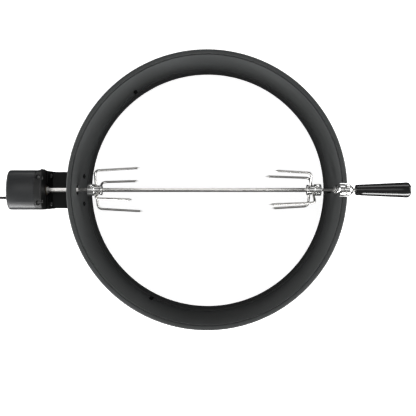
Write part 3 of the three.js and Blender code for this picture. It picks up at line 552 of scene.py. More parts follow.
def tube_mesh(name, path, radius, sides):
    """A round tube along points, with its section carried along without twist"""
    loops = []
    normal = None
    for i, point in enumerate(path):
        way = (path[min(i + 1, len(path) - 1)] - path[max(i - 1, 0)]).normalized()
        if normal is None:
            normal = way.orthogonal().normalized()
        normal = (normal - way * normal.dot(way)).normalized()
        other = way.cross(normal)
        loops.append([
            point + (normal * math.cos(a) + other * math.sin(a)) * radius
            for a in (2 * math.pi * k / sides for k in range(sides))
        ])
    return loft(name, loops)


def smooth_path(points, step):
    """Evenly spaced points on a smooth curve through the given ones"""
    dense = []
    padded = [points[0] * 2 - points[1], *points, points[-1] * 2 - points[-2]]
    for a, b, c, d in zip(padded, padded[1:], padded[2:], padded[3:]):
        for k in range(16):
            t = k / 16
            square = a * 2 - b * 5 + c * 4 - d
            cube = b * 3 - a - c * 3 + d
            dense.append((b * 2 + (c - a) * t + square * t * t + cube * t ** 3) * 0.5)
    dense.append(points[-1].copy())
    total = sum((q - p).length for p, q in zip(dense, dense[1:]))
    count = max(2, round(total / step))
    result, walked, target = [dense[0]], 0.0, total / count
    for p, q in zip(dense, dense[1:]):
        span = (q - p).length
        while walked + span >= target - 1e-9 and len(result) < count:
            result.append(p.lerp(q, (target - walked) / span))
            target += total / count
        walked += span
    result.append(dense[-1])
    return result


# ---- geometry node trees ---------------------------------------------------------------------


class Tree:
    """A geometry node tree with named inputs"""

    def __init__(self, name, inputs):
        self.tree = bpy.data.node_groups.new(name, "GeometryNodeTree")
        self.tree.interface.new_socket("Geometry", in_out="INPUT", socket_type="NodeSocketGeometry")
        for label, kind, default in inputs:
            item = self.tree.interface.new_socket(label, in_out="INPUT", socket_type=kind)
            if default is not None:
                item.default_value = default
        self.tree.interface.new_socket("Geometry", in_out="OUTPUT", socket_type="NodeSocketGeometry")
        self.input = self.tree.nodes.new("NodeGroupInput")
        self.output = self.tree.nodes.new("NodeGroupOutput")

    def node(self, kind, settings=None, sockets=None, out=0):
        made = self.tree.nodes.new(kind)
        for key, value in (settings or {}).items():
            setattr(made, key, value)
        for key, value in (sockets or {}).items():
            if isinstance(value, bpy.types.NodeSocket):
                self.tree.links.new(value, made.inputs[key])
            else:
                made.inputs[key].default_value = value
        return made.outputs[out]

    def given(self, label):
        return self.input.outputs[label]

    def end(self, geometry, material):
        real = self.node("GeometryNodeRealizeInstances", {}, {"Geometry": geometry})
        painted = self.node("GeometryNodeSetMaterial", {}, {"Geometry": real, "Material": material})
        self.tree.links.new(painted, self.output.inputs[0])

    def run(self, source, values):
        """The plain mesh that this tree makes from a source mesh, with values for its named inputs"""
        holder = bpy.data.objects.new(self.tree.name + "_source", source)
        bpy.context.scene.collection.objects.link(holder)
        modifier = holder.modifiers.new("tree", "NODES")
        modifier.node_group = self.tree
        for item in self.tree.interface.items_tree:
            if item.in_out == "INPUT" and item.name in values:
                modifier[item.identifier] = values[item.name]
        bpy.context.view_layer.update()
        graph = bpy.context.evaluated_depsgraph_get()
        mesh = bpy.data.meshes.new_from_object(holder.evaluated_get(graph))
        bpy.data.objects.remove(holder)
        return mesh


def wire_tree(material):
    """Bent wires: each edge path gets a rounded bend, a ground point and a round section"""
    tree = Tree("bent_wires", [
        ("Wire radius", "NodeSocketFloat", 0.0024),
        ("Bend radius", "NodeSocketFloat", 0.0095),
        ("Point share", "NodeSocketFloat", 0.06),
        ("Sides", "NodeSocketInt", 20),
    ])
    curve = tree.node("GeometryNodeMeshToCurve", {}, {"Mesh": tree.given("Geometry")})
    bent = tree.node("GeometryNodeFilletCurve", {"mode": "POLY"}, {
        "Curve": curve, "Count": 12, "Radius": tree.given("Bend radius"),
    })
    fine = tree.node("GeometryNodeResampleCurve", {}, {"Curve": bent, "Count": 120})
    along = tree.node("GeometryNodeSplineParameter", {}, {}, "Factor")
    start = tree.node("ShaderNodeMath", {"operation": "SUBTRACT"}, {0: 1.0, 1: tree.given("Point share")})
    taper = tree.node("ShaderNodeMapRange", {"interpolation_type": "SMOOTHERSTEP"}, {
        "Value": along, "From Min": start, "From Max": 1.0, "To Min": 1.0, "To Max": 0.16,
    })
    section = tree.node("GeometryNodeCurvePrimitiveCircle", {}, {
        "Resolution": tree.given("Sides"), "Radius": tree.given("Wire radius"),
    })
    swept = tree.node("GeometryNodeCurveToMesh", {}, {
        "Curve": fine, "Profile Curve": section, "Scale": taper, "Fill Caps": True,
    })
    tree.end(swept, material)
    return tree


def fastener_tree(material):
    """Fasteners: one pattern piece stands on every point, turned about its own axis by a fixed seed"""
    tree = Tree("fasteners", [
        ("Pattern", "NodeSocketObject", None),
        ("Size", "NodeSocketFloat", 1.0),
        ("Seed", "NodeSocketInt", 3),
    ])
    pattern = tree.node("GeometryNodeObjectInfo", {}, {"Object": tree.given("Pattern")}, "Geometry")
    facing = tree.node("GeometryNodeInputNamedAttribute", {"data_type": "FLOAT_VECTOR"}, {"Name": "facing"})
    aimed = tree.node("FunctionNodeAlignRotationToVector", {"axis": "Z"}, {"Vector": facing})
    spin = tree.node("FunctionNodeRandomValue", {"data_type": "FLOAT"}, {
        2: 0.0, 3: 3.1, "Seed": tree.given("Seed"),
    }, 1)
    about = tree.node("FunctionNodeAxisAngleToRotation", {}, {"Axis": (0.0, 0.0, 1.0), "Angle": spin})
    turned_in = tree.node("FunctionNodeRotateRotation", {"rotation_space": "LOCAL"}, {
        "Rotation": aimed, "Rotate By": about,
    })
    copies = tree.node("GeometryNodeInstanceOnPoints", {}, {
        "Points": tree.given("Geometry"), "Instance": pattern, "Rotation": turned_in,
        "Scale": tree.given("Size"),
    })
    tree.end(copies, material)
    return tree


def stand_on_points(pattern, places, facings, material, seed):
    """A plain mesh of the pattern mesh, standing on each place along its facing"""
    source = bpy.data.meshes.new("fastener_points")
    source.from_pydata([tuple(p) for p in places], [], [])
    facing = source.attributes.new("facing", "FLOAT_VECTOR", "POINT")
    for item, way in zip(facing.data, facings):
        item.vector = way
    shape = bpy.data.objects.new("fastener_pattern", pattern)
    bpy.context.scene.collection.objects.link(shape)
    mesh = fastener_tree(material).run(source, {"Pattern": shape, "Size": 1.0, "Seed": seed})
    bpy.data.objects.remove(shape)
    return mesh


# ---- stage -----------------------------------------------------------------------------------


def soft_light(name, size, place, target, power):
    data = bpy.data.lights.new(name, "AREA")
    data.shape = "RECTANGLE"
    data.size, data.size_y = size
    data.energy = power
    lamp = bpy.data.objects.new(name, data)
    lamp.location = place
    lamp.rotation_euler = (Vector(target) - Vector(place)).to_track_quat("-Z", "Y").to_euler()
    bpy.context.scene.collection.objects.link(lamp)
    return lamp


class KIT_OT_stage(bpy.types.Operator):
    """Sets up the camera, the soft lights and the pale floor"""

    bl_idname = "rotisserie.stage"
    bl_label = "Stage"

    def execute(self, context):
        scene = context.scene
        data = bpy.data.cameras.new("camera")
        data.lens = 48.83
        data.sensor_width = 36.0
        data.shift_x = -0.0150
        data.shift_y = -0.0342
        camera = bpy.data.objects.new("camera", data)
        camera.location = (RING_X + 0.015, -0.008, RING_HIGH.z + CAMERA_HEIGHT)
        scene.collection.objects.link(camera)
        scene.camera = camera
        scene.view_settings.view_transform = "Standard"

        world = bpy.data.worlds.new("studio")
        world.use_nodes = True
        sky = world.node_tree.nodes["Background"]
        sky.inputs["Color"].default_value = (1.0, 1.0, 1.0, 1.0)
        where = world.node_tree.nodes.new("ShaderNodeTexCoord")
        parts = world.node_tree.nodes.new("ShaderNodeSeparateXYZ")
        glow = world.node_tree.nodes.new("ShaderNodeMapRange")
        ends = (("From Min", -0.15), ("From Max", 0.15), ("To Min", SKY_LOW), ("To Max", SKY_HIGH))
        for key, value in ends:
            glow.inputs[key].default_value = value
        world.node_tree.links.new(where.outputs["Generated"], parts.inputs["Vector"])
        world.node_tree.links.new(parts.outputs["Z"], glow.inputs["Value"])
        world.node_tree.links.new(glow.outputs["Result"], sky.inputs["Strength"])
        scene.world = world

        centre = (RING_X, 0.0, 0.10)
        soft_light("overhead", (1.8, 1.0), (RING_X, 0.3, 2.2), centre, 4.5)
        soft_light("back", (2.6, 0.7), (RING_X, 1.9, 0.75), centre, 11.0)
        soft_light("front_left", (1.3, 0.55), (RING_X - 1.0, -1.35, 0.50), centre, 30.0)
        soft_light("front_right", (1.3, 0.55), (RING_X + 1.0, -1.35, 0.50), centre, 30.0)
        soft_light("side_left", (1.2, 0.5), (RING_X - 1.9, 0.2, 0.54), centre, 22.0)
        soft_light("side_right", (1.2, 0.5), (RING_X + 1.9, 0.2, 0.54), centre, 22.0)

        tone = tuple(scene.rotisserie_colours.floor)
        finish = Finish("pale_floor", {"Roughness": 0.9, "Emission Strength": 0.86})
        patch = finish.noise(0.7, 2.0)
        finish.feed(Base_Color=finish.mix(patch, shade(tone, 0.99), shade(tone, 1.01)))
        finish.surface.inputs["Emission Color"].default_value = (1.0, 1.0, 1.0, 1.0)
        floor = bpy.data.objects.new("floor", block((-4.0, -4.0, -0.0206), (4.0, 4.0, -0.0006)))
        floor.data.materials.append(finish.material)
        floor.visible_glossy = False
        floor.visible_diffuse = False
        scene.collection.objects.link(floor)
        return {"FINISHED"}


# ---- cord ------------------------------------------------------------------------------------

CORD_RUN = [
    (-439.3, -17, 70), (-448, -17, 69.7), (-459, -17, 67.2), (-469.5, -17, 61), (-478, -17, 51.5),
    (-484.5, -17, 40), (-490, -16.9, 28), (-496.5, -16.6, 16.5), (-505, -16, 8), (-514.5, -15.3, 4.5),
    (-523, -14.6, 4.5), (-533, -13.6, 4.5),
]
CORD_TAIL = [
    (-584, -59, 10.5), (-584.4, -70, 10.3), (-585.5, -81, 9.6), (-587.5, -92, 8.6), (-589, -104, 7.4),
    (-589.5, -116, 6.9), (-589.5, -123.7, 6.9),
]
COIL_MIDDLE = (-545.0, -52.0)


def coil_points(turns):
    """The coil's centreline: inward turns on the floor, then outward turns on top of them"""
    lanes = [39.0, 33.0, 27.0, 27.0, 33.0, 39.0, 39.0]
    steps = 36
    points = []
    for k in range(turns * steps + steps // 4 + 1):
        turn, part = divmod(k, steps)
        share = max(0.0, (part / steps - 5 / 6) * 6)
        share = share * share * (3 - 2 * share)
        here, after = lanes[min(turn, 6)], lanes[min(turn + 1, 6)]
        level = 4.5 if turn < 2 else 4.5 + 6.0 * share if turn == 2 else 10.5
        radius = here + (after - here) * share
        a = math.radians(90) + 2 * math.pi * k / steps
        points.append((COIL_MIDDLE[0] + radius * math.cos(a), COIL_MIDDLE[1] + radius * math.sin(a), level))
    return points


class KIT_OT_cord(bpy.types.Operator):
    """Makes the mains cord with its coil, its strain relief, its tie and its plug"""

    bl_idname = "rotisserie.cord"
    bl_label = "Cord and plug"

    def execute(self, context):
        sizes = context.scene.rotisserie_cord
        body = "ring_and_motor"
        route = CORD_RUN + coil_points(sizes.coil_turns) + CORD_TAIL
        path = smooth_path([spot(*p) for p in route], 0.004)
        mesh = tube_mesh("mains_cord", path, sizes.diameter / 2, 18)
        flex = new_piece("flex", mesh, "cable", body, ("mains_cord", "cord_coil", "cord_tail"), 60.0)

        low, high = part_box("cord_gland")
        y, z = (low.y + high.y) / 2, (low.z + high.z) / 2
        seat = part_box("motor_rear_shell")[0].x - 0.0003
        ribs = []
        tip = low.x
        for k in range(5):
            x = seat - 0.0054 - k * 0.0046
            r = 0.0061 + (0.0043 - 0.0061) * (seat - x) / (seat - tip)
            ribs += [(x, r), (x - 0.0026, r - 0.0001), (x - 0.0029, r - 0.0009), (x - 0.0043, r - 0.0009)]
        profile = [
            (high.x, 0.0), (high.x, 0.0054), (seat, 0.0054), (seat, 0.008), (seat - 0.0018, 0.008),
            (seat - 0.0024, 0.0074), (seat - 0.0024, 0.0062), *ribs, (tip + 0.0004, 0.0041), (tip, 0.0037),
            (tip, 0.0),
        ]
        mesh = turned("cord_gland", profile, Vector((0, y, z)), "X", 40)
        gland = new_piece("strain_relief", mesh, "cable", body, ("cord_gland",), 40.0)
        tie = new_piece("tie", from_node("cord_tie", 0.0004), "dark_plastic", body, ("cord_tie",))

        plug = self.plug(body)
        pins = self.pins(body)
        measured = sum((q - p).length for p, q in zip(path, path[1:]))
        return {"FINISHED"}

    def plug(self, body):
        low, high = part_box("plug_body")
        x, z = (low.x + high.x) / 2, (low.z + high.z) / 2
        length_y = high.y - low.y
        half, thick = (high.x - low.x) / 2, (high.z - low.z) / 2
        stations = [
            (0.0, 0.30, 0.62), (0.04, 0.36, 0.70), (0.16, 0.40, 0.74), (0.24, 0.56, 0.86), (0.40, 0.86, 0.96),
            (0.55, 0.97, 1.0), (0.80, 1.0, 1.0), (0.95, 0.99, 0.98), (1.0, 0.94, 0.90),
        ]
        loops = []
        for share, wide, tall in stations:
            a, b = half * wide, thick * tall
            loop = []
            for k in range(40):
                t = 2 * math.pi * k / 40
                c, s = math.cos(t), math.sin(t)
                loop.append(Vector((
                    x + a * math.copysign(abs(c) ** 0.55, c), high.y - length_y * share,
                    z + b * math.copysign(abs(s) ** 0.6, s),
                )))
            loops.append(loop)
        mesh = bevelled(loft("plug", loops), 0.0006, 2, 40.0)
        grips = []
        for share in (0.58, 0.66, 0.74, 0.82):
            y = high.y - length_y * share
            low_corner = (x - half * 0.55, y, z + thick - 0.0005)
            grips.append(block(low_corner, (x + half * 0.55, y + 0.0012, z + thick + 0.001)))
        return new_piece("mains_plug", cut(mesh, grips), "cable", body, ("plug_body",), 40.0)

    def pins(self, body):
        made = []
        for i in (1, 2):
            low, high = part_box(f"plug_pin_{i}")
            x, z, r = (low.x + high.x) / 2, (low.z + high.z) / 2, (high.x - low.x) / 2
            reach = high.y - low.y
            profile = [(0, 0), (0, r - 0.0009), (0.0004, r - 0.0004), (0.0012, r), (reach, r), (reach, 0)]
            mesh = turned("plug_pin", profile, Vector(), "Z", 32)
            mesh.transform(Matrix.Translation((x, low.y, z)) @ Matrix.Rotation(-math.pi / 2, 4, "X"))
            made.append(new_piece(f"contact_pin_{i}", mesh, "zinc", body, (f"plug_pin_{i}",)))
        return made


# ---- ring ------------------------------------------------------------------------------------


class KIT_OT_ring(bpy.types.Operator):
    """Makes the coated steel ring with its rim, ledge, notch and spit hole"""

    bl_idname = "rotisserie.ring"
    bl_label = "Ring"

    def execute(self, context):
        s = context.scene.rotisserie_ring
        top = RING_HIGH.z
        inner = s.bend - s.sheet
        back = s.wall_radius + s.sheet
        groove = s.wall_radius + 0.0022
        flip = lambda points: [(z, r) for r, z in points]
        profile = [
            (0.0, s.spigot_radius + s.sheet),
            (s.spigot_height - s.sheet - 0.001, s.spigot_radius + s.sheet),
            (s.spigot_height - s.sheet, s.spigot_radius + s.sheet + 0.001),
            (s.spigot_height - s.sheet, back - 0.0012),
            *flip(arc(back - 0.0012, s.spigot_height - s.sheet + 0.0012, 0.0012, -60, 0, 3)),
            *flip(arc(groove, top - 0.0048, groove - back, 180, 90, 4)),
            (top - 0.0048 + groove - back, groove + 0.0012),
            (top - s.sheet, groove + 0.0032),
            *flip(arc(s.rim_radius - s.bend, top - s.bend, inner, 90, 0, 5)),
            (top - s.skirt, s.rim_radius - s.sheet),
            (top - s.skirt - 0.0002, s.rim_radius - s.sheet / 2),
            (top - s.skirt, s.rim_radius),
            *flip(arc(s.rim_radius - s.bend, top - s.bend, s.bend, 0, 90, 8)),
            *flip(arc(groove + 0.0020, top - 0.0006, 0.0006, 90, 170, 4)),
            (top - 0.0017, groove + 0.0006), (top - 0.0017, groove - 0.0002),
            *flip(arc(s.wall_radius + 0.0008, top - 0.0012, 0.0008, 20, 180, 8)),
            *flip(arc(s.wall_radius - 0.0016, s.spigot_height + 0.0016, 0.0016, 0, -90, 4)),
            *flip(arc(s.spigot_radius + 0.001, s.spigot_height - 0.001, 0.001, 90, 180, 3)),
            (0.0, s.spigot_radius),
        ]
        mesh = turned("ring", profile, Vector((RING_X, 0, 0)), "Z", s.sides)
        half = 0.0071
        far = RING_X + s.rim_radius + 0.01
        near = RING_X + s.wall_radius - 0.02
        axis = lambda x: Vector((x, 0, AXIS_Z))
        tools = [
            rod_mesh(half, axis(near), axis(far), 48),
            block((near, -half, AXIS_Z), (far, half, top + 0.01)),
            block((near, -0.0135, top - 0.022), (far, 0.0135, top + 0.01)),
            rod_mesh(0.0107, axis(RING_X - s.rim_radius - 0.01), axis(RING_X - s.wall_radius + 0.02), 48),
        ]
        new_piece("ring", cut(mesh, tools), "ring", "ring_and_motor", ("ring_shell",), 40.0)
        return {"FINISHED"}


# ---- fasteners -------------------------------------------------------------------------------


def screw_pattern(shank, depth, head, height, recess="cross", dome=0.45):
    """A screw about +Z with its head's seat at z = 0"""
    crown = [(height * (1 - dome * (k / 5) ** 2), head * k / 5) for k in range(5, 0, -1)]
    shaft = [(-depth, 0.0), (-depth, shank * 0.8), (-depth + shank * 0.5, shank), (0.0, shank)]
    profile = [*shaft, (0.0, head), *crown, (height, 0.0)]
    mesh = turned("screw", rounded(profile, head * 0.08, 2), Vector(), "Z", 36)
    width, reach = head * 0.16, head * 0.62
    if recess == "cross":
        tools = [
            block((-reach, -width, height * 0.45), (reach, width, height + 0.001)),
            block((-width, -reach, height * 0.45), (width, reach, height + 0.001)),
        ]
    elif recess == "slot":
        tools = [block((-head * 1.2, -width * 0.8, height * 0.62), (head * 1.2, width * 0.8, height + 0.001))]
    else:
        tools = [rod_mesh(head * 0.46, Vector((0, 0, height * 0.4)), Vector((0, 0, height + 0.001)), 6)]
    return cut(mesh, tools)


def nut_pattern(width, height, bore):
    """A hexagon nut about +Z, standing on z = 0"""
    corner = width / math.sqrt(3)
    nut = turned("nut", [(0, 0), (0, corner), (height, corner), (height, 0)], Vector(), "Z", 6)
    cone = turned("cone", [
        (-0.001, 0), (-0.001, corner * 0.8), (0, corner * 0.9), (height * 0.18, corner),
        (height * 0.82, corner), (height, corner * 0.9), (height + 0.001, corner * 0.8), (height + 0.001, 0),
    ], Vector(), "Z", 48)
    nut = cut(nut, [cone], "INTERSECT")
    return cut(nut, [rod_mesh(bore, Vector((0, 0, -0.01)), Vector((0, 0, 0.02)), 32)])


class KIT_OT_fasteners(bpy.types.Operator):
    """Makes the screws, bolts, nuts and studs with one node tree"""

    bl_idname = "rotisserie.fasteners"
    bl_label = "Fasteners"

    def execute(self, context):
        body = "ring_and_motor"
        forward, back = Vector((1, 0, 0)), Vector((-1, 0, 0))

        def group(name, pattern, nodes, slot, facing, height, seed, material=None):
            places = []
            for node in nodes:
                low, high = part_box(node)
                tip = high if facing.x + facing.z > 0 else low
                place = (low + high) / 2
                axis = 0 if facing.x else 2
                place[axis] = tip[axis] - height * (facing.x + facing.z)
                places.append(place)
            look = finish_named(material or slot)
            mesh = stand_on_points(pattern, places, [facing] * len(places), look, seed)
            return new_piece(name, mesh, slot, body, nodes, 30.0, material)

        group("bracket_bolts", screw_pattern(0.0029, 0.0085, 0.0052, 0.003, "hexagon", 0.5),
              ("bracket_bolt_1", "bracket_bolt_2"), "bracket", forward, 0.003, 5)
        group("bracket_nuts", nut_pattern(0.010, 0.004, 0.003),
              ("bracket_nut_1", "bracket_nut_2"), "zinc", back, 0.004, 7)
        group("mount_screws", screw_pattern(0.0025, 0.0085, 0.0046, 0.0028),
              ("mount_screw_1", "mount_screw_2"), "zinc", forward, 0.0028, 11, "dark_zinc")
        group("housing_screws", screw_pattern(0.0014, 0.026, 0.003, 0.002),
              tuple(f"housing_screw_{i}" for i in (1, 2, 3, 4)), "zinc", forward, 0.002, 13, "dark_zinc")
        group("cover_screws", screw_pattern(0.0012, 0.0004, 0.0036, 0.0019),
              ("cover_screw_1", "cover_screw_2"), "zinc", Vector((0, 0, 1)), 0.002, 17, "dark_zinc")
        self.studs(body)
        self.set_screws()
        return {"FINISHED"}

    def studs(self, body):
        nodes = ("rest_pin_1", "rest_pin_2", "rest_pin_3")
        wall = bpy.context.scene.rotisserie_ring.wall_radius
        places, facings = [], []
        for node in nodes:
            low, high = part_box(node)
            way = (low + high) / 2 - Vector((RING_X, 0, 0))
            height = way.z
            way.z = 0
            way.normalize()
            places.append(Vector((RING_X, 0, height)) + way * wall)
            facings.append(-way)
        profile = rounded([
            (-0.0040, 0.0), (-0.0040, 0.0026), (-0.0015, 0.0042), (-0.0015, 0.00215), (0.0006, 0.00215),
            (0.0006, 0.0043), (0.0080, 0.0043), (0.0090, 0.0033), (0.0090, 0.0),
        ], 0.0006, 3)
        pattern = turned("stud", profile, Vector(), "Z", 36)
        mesh = stand_on_points(pattern, places, facings, finish_named("bracket"), 19)
        new_piece("rest_studs", mesh, "bracket", body, nodes, 30.0)

    def set_screws(self):
        head = bpy.context.scene.rotisserie_spit.screw_head
        way = Vector((0, math.cos(FLAT_TURN), math.sin(FLAT_TURN)))
        table = (
            ("left_fork_screw", "left_screw", 0.0125, 23), ("right_fork_screw", "right_screw", 0.0125, 29),
            ("stop_collar_screw", "stop_screw", 0.0123, 31),
        )
        for node, body, seat, seed in table:
            low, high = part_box(node)
            place = Vector(((low.x + high.x) / 2, 0, AXIS_Z)) + way * seat
            pattern = screw_pattern(0.002, seat - 0.0036, head, 0.0042, "slot", 0.12)
            mesh = stand_on_points(pattern, [place], [way], finish_named("chrome"), seed)
            new_piece(node + "_fine", mesh, "chrome", body, (node,), 30.0)


# ---- spit ------------------------------------------------------------------------------------


def bar_loop(x, side, edge, round_radius=None):
    """A loop of a square with rounded edges, or of a circle with as many points, at a place along X"""
    loop = []
    for quarter in range(4):
        for step in range(6):
            a = math.radians(90 * quarter + 18 * step)
            if round_radius is None:
                reach = side / 2 - edge
                corner = math.radians(90 * quarter + 45)
                y = math.copysign(reach, math.cos(corner)) + edge * math.cos(a)
                z = math.copysign(reach, math.sin(corner)) + edge * math.sin(a)
            else:
                a = math.radians(90 * quarter + 4.5 + 16.2 * step)
                y, z = round_radius * math.cos(a), round_radius * math.sin(a)
            c, s = math.cos(FLAT_TURN), math.sin(FLAT_TURN)
            loop.append(Vector((x, y * c - z * s, AXIS_Z + y * s + z * c)))
    return loop


class KIT_OT_spit(bpy.types.Operator):
    """Makes the square bar, the grooved bushing and the stop collar"""

    bl_idname = "rotisserie.spit"
    bl_label = "Spit"

    def execute(self, context):
        s = context.scene.rotisserie_spit
        x0, x1 = BAR_LOW.x, BAR_HIGH.x
        end = RING_X + SQUARE_END
        edge = s.bar_edge
        loops = [
            bar_loop(x0, s.bar_side * 0.50, edge * 0.8), bar_loop(x0 + 0.0006, s.bar_side * 0.60, edge),
            bar_loop(x0 + 0.0062, s.bar_side * 0.99, edge), bar_loop(x0 + 0.0072, s.bar_side, edge),
            bar_loop(end - 0.0012, s.bar_side, edge), bar_loop(end, 0, 0, 0.0031),
            bar_loop(x1 - 0.0006, 0, 0, 0.0031), bar_loop(x1, 0, 0, 0.0026),
        ]
        new_piece("bar", loft("bar", loops), "steel", "spit", ("spit_bar",), 28.0)

        low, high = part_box("ring_bushing")
        wall = RING_X + context.scene.rotisserie_ring.wall_radius
        profile = rounded([
            (low.x, 0.0034), (low.x, 0.0087), (wall - 0.0016, 0.0087), (wall - 0.0016, 0.0065),
            (wall + 0.0028, 0.0065), (wall + 0.0028, 0.01035), (wall + 0.0053, 0.01285), (high.x, 0.01285),
            (high.x, 0.0034),
        ], 0.0007, 4)
        mesh = turned("ring_bushing", profile, Vector((0, 0, AXIS_Z)), "X", 72)
        new_piece("bushing", mesh, "chrome", "spit", ("ring_bushing",), 35.0)

        low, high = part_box("stop_collar")
        profile = rounded([
            (low.x, 0.0034), (low.x, 0.012), (low.x + 0.0085, 0.012), (high.x, 0.0062), (high.x, 0.0034),
        ], 0.0008, 4)
        mesh = turned("stop_collar", profile, Vector((0, 0, AXIS_Z)), "X", 72)
        way = Vector((0, math.cos(FLAT_TURN), math.sin(FLAT_TURN)))
        seat = Vector((low.x + 0.00425, 0, AXIS_Z))
        mesh = cut(mesh, [rod_mesh(0.0023, seat, seat + way * 0.02)])
        new_piece("end_collar", mesh, "chrome", "spit", ("stop_collar",), 35.0)
        return {"FINISHED"}


class KIT_OT_handle(bpy.types.Operator):
    """Makes the glossy handle and its threaded insert"""

    bl_idname = "rotisserie.handle"
    bl_label = "Handle"

    def execute(self, context):
        low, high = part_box("handle_grip")
        tip = high.x
        radius = (high.z - low.z) / 2
        bore = BAR_HIGH.x + 0.002
        middle = Vector((0, 0, AXIS_Z))
        start, neck = low.x + 0.0016, 0.0112
        body_line = []
        for k in range(1, 9):
            along = start + (tip - 0.006 - start) * k / 8
            body_line.append((along, neck + (radius - neck) * (k / 8) ** 0.97))
        profile = [
            (low.x, 0.0058), (low.x, 0.0090), (low.x + 0.0005, 0.0102), (start, neck), *body_line,
            *arc(tip - 0.006, radius - 0.006, 0.006, 90, 0, 8)[1:], (tip, 0.0), (bore, 0.0), (bore, 0.0058),
        ]
        mesh = turned("grip", profile, middle, "X", 96)
        new_piece("grip", mesh, "grip", "handle", ("handle_grip",), 40.0)
        low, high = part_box("handle_insert")
        profile = rounded([(low.x, 0.0034), (low.x, 0.0055), (high.x, 0.0055), (high.x, 0.0034)], 0.0003, 2)
        mesh = turned("handle_insert", profile, middle, "X", 40)
        new_piece("grip_insert", mesh, "zinc", "handle", ("handle_insert",))
        return {"FINISHED"}


class KIT_OT_forks(bpy.types.Operator):
    """Makes the two meat forks: hubs, and tines bent by a node tree"""

    bl_idname = "rotisserie.forks"
    bl_label = "Forks"

    def execute(self, context):
        s = context.scene.rotisserie_spit
        wires = wire_tree(finish_named("steel"))
        for side, toward, long_angle, short_angle in (("left", 1, 23.5, 113.5), ("right", -1, 127.2, 37.2)):
            low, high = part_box(f"{side}_fork_hub")
            start = low.x if toward > 0 else high.x
            at = lambda d: start + toward * d
            profile = rounded([
                (at(0), 0.0), (at(0), 0.0122), (at(0.014), 0.0122), (at(0.014), 0.0096), (at(0.0264), 0.0096),
                (at(0.0264), 0.011), (at(0.0296), 0.011), (at(0.0296), 0.0),
            ], 0.0009, 4)
            mesh = turned(f"{side}_hub", profile, Vector((0, 0, AXIS_Z)), "X", 64)
            bore = block((-0.002, -0.0035, -0.0035), (0.034, 0.0035, 0.0035))
            hub_low = Vector((min(at(0), at(0.0296)), 0, AXIS_Z))
            bore.transform(Matrix.Translation(hub_low) @ Matrix.Rotation(FLAT_TURN, 4, "X"))
            way = Vector((0, math.cos(FLAT_TURN), math.sin(FLAT_TURN)))
            seat = Vector((at(0.007), 0, AXIS_Z))
            mesh = cut(mesh, [bore, rod_mesh(0.0023, seat, seat + way * 0.02)])
            new_piece(f"{side}_hub", mesh, "chrome", f"{side}_fork", (f"{side}_fork_hub",), 35.0)

            points, edges = [], []
            for plane, reach, angle in (
                (0.0176, 0.095, long_angle), (0.0176, 0.095, long_angle + 180),
                (0.0231, 0.077, short_angle), (0.0231, 0.077, short_angle + 180),
            ):
                a = math.radians(angle)
                out = Vector((0, math.cos(a), math.sin(a)))
                run = math.sqrt(reach ** 2 - (TINE_POINT_OUT - TINE_BEND_OUT) ** 2)
                root = Vector((at(plane), 0, AXIS_Z))
                point = Vector((at(plane + run), 0, AXIS_Z))
                first = len(points)
                points += [root + out * 0.0062, root + out * TINE_BEND_OUT, point + out * TINE_POINT_OUT]
                edges += [(first, first + 1), (first + 1, first + 2)]
            source = bpy.data.meshes.new(f"{side}_paths")
            source.from_pydata([tuple(p) for p in points], edges, [])
            values = {
                "Wire radius": s.wire_radius, "Bend radius": s.tine_bend, "Point share": 0.07, "Sides": 20,
            }
            mesh = wires.run(source, values)
            nodes = [f"{side}_fork_tine_{kind}_{tag}" for kind in ("long", "short") for tag in ("a", "b")]
            new_piece(f"{side}_tines", mesh, "steel", f"{side}_fork", nodes, 50.0)
        return {"FINISHED"}


# ---- motor -----------------------------------------------------------------------------------


def case_outline(x, inset):
    """A loop of the motor's cross-section at a place along X"""
    half, low, top = 0.041 - inset, 0.046 + inset, 0.165 - inset
    foot = max(0.007 - inset, 0.001)
    steps = 10
    shoulder, rise = 0.010, 0.008
    edge = half - shoulder
    big = (edge ** 2 + rise ** 2) / (2 * rise)
    lean = math.degrees(math.asin(edge / big))
    corner = top - rise - shoulder * math.tan(math.radians(lean))
    points = arc(half - foot, low + foot, foot, -90, 0, steps)
    bend = [Vector((half, corner - shoulder)), Vector((half, corner)), Vector((edge, top - rise))]
    right = []
    for k in range(steps + 1):
        t = k / steps
        right.append(tuple(bend[0] * (1 - t) ** 2 + bend[1] * 2 * t * (1 - t) + bend[2] * t * t))
    points += right
    points += arc(0, top - big, big, 90 - lean, 90 + lean, steps * 2)[1:-1]
    points += [(-y, z) for y, z in reversed(right)]
    points += arc(-half + foot, low + foot, foot, 180, 270, steps)
    return [Vector((x, y, z)) for y, z in points]


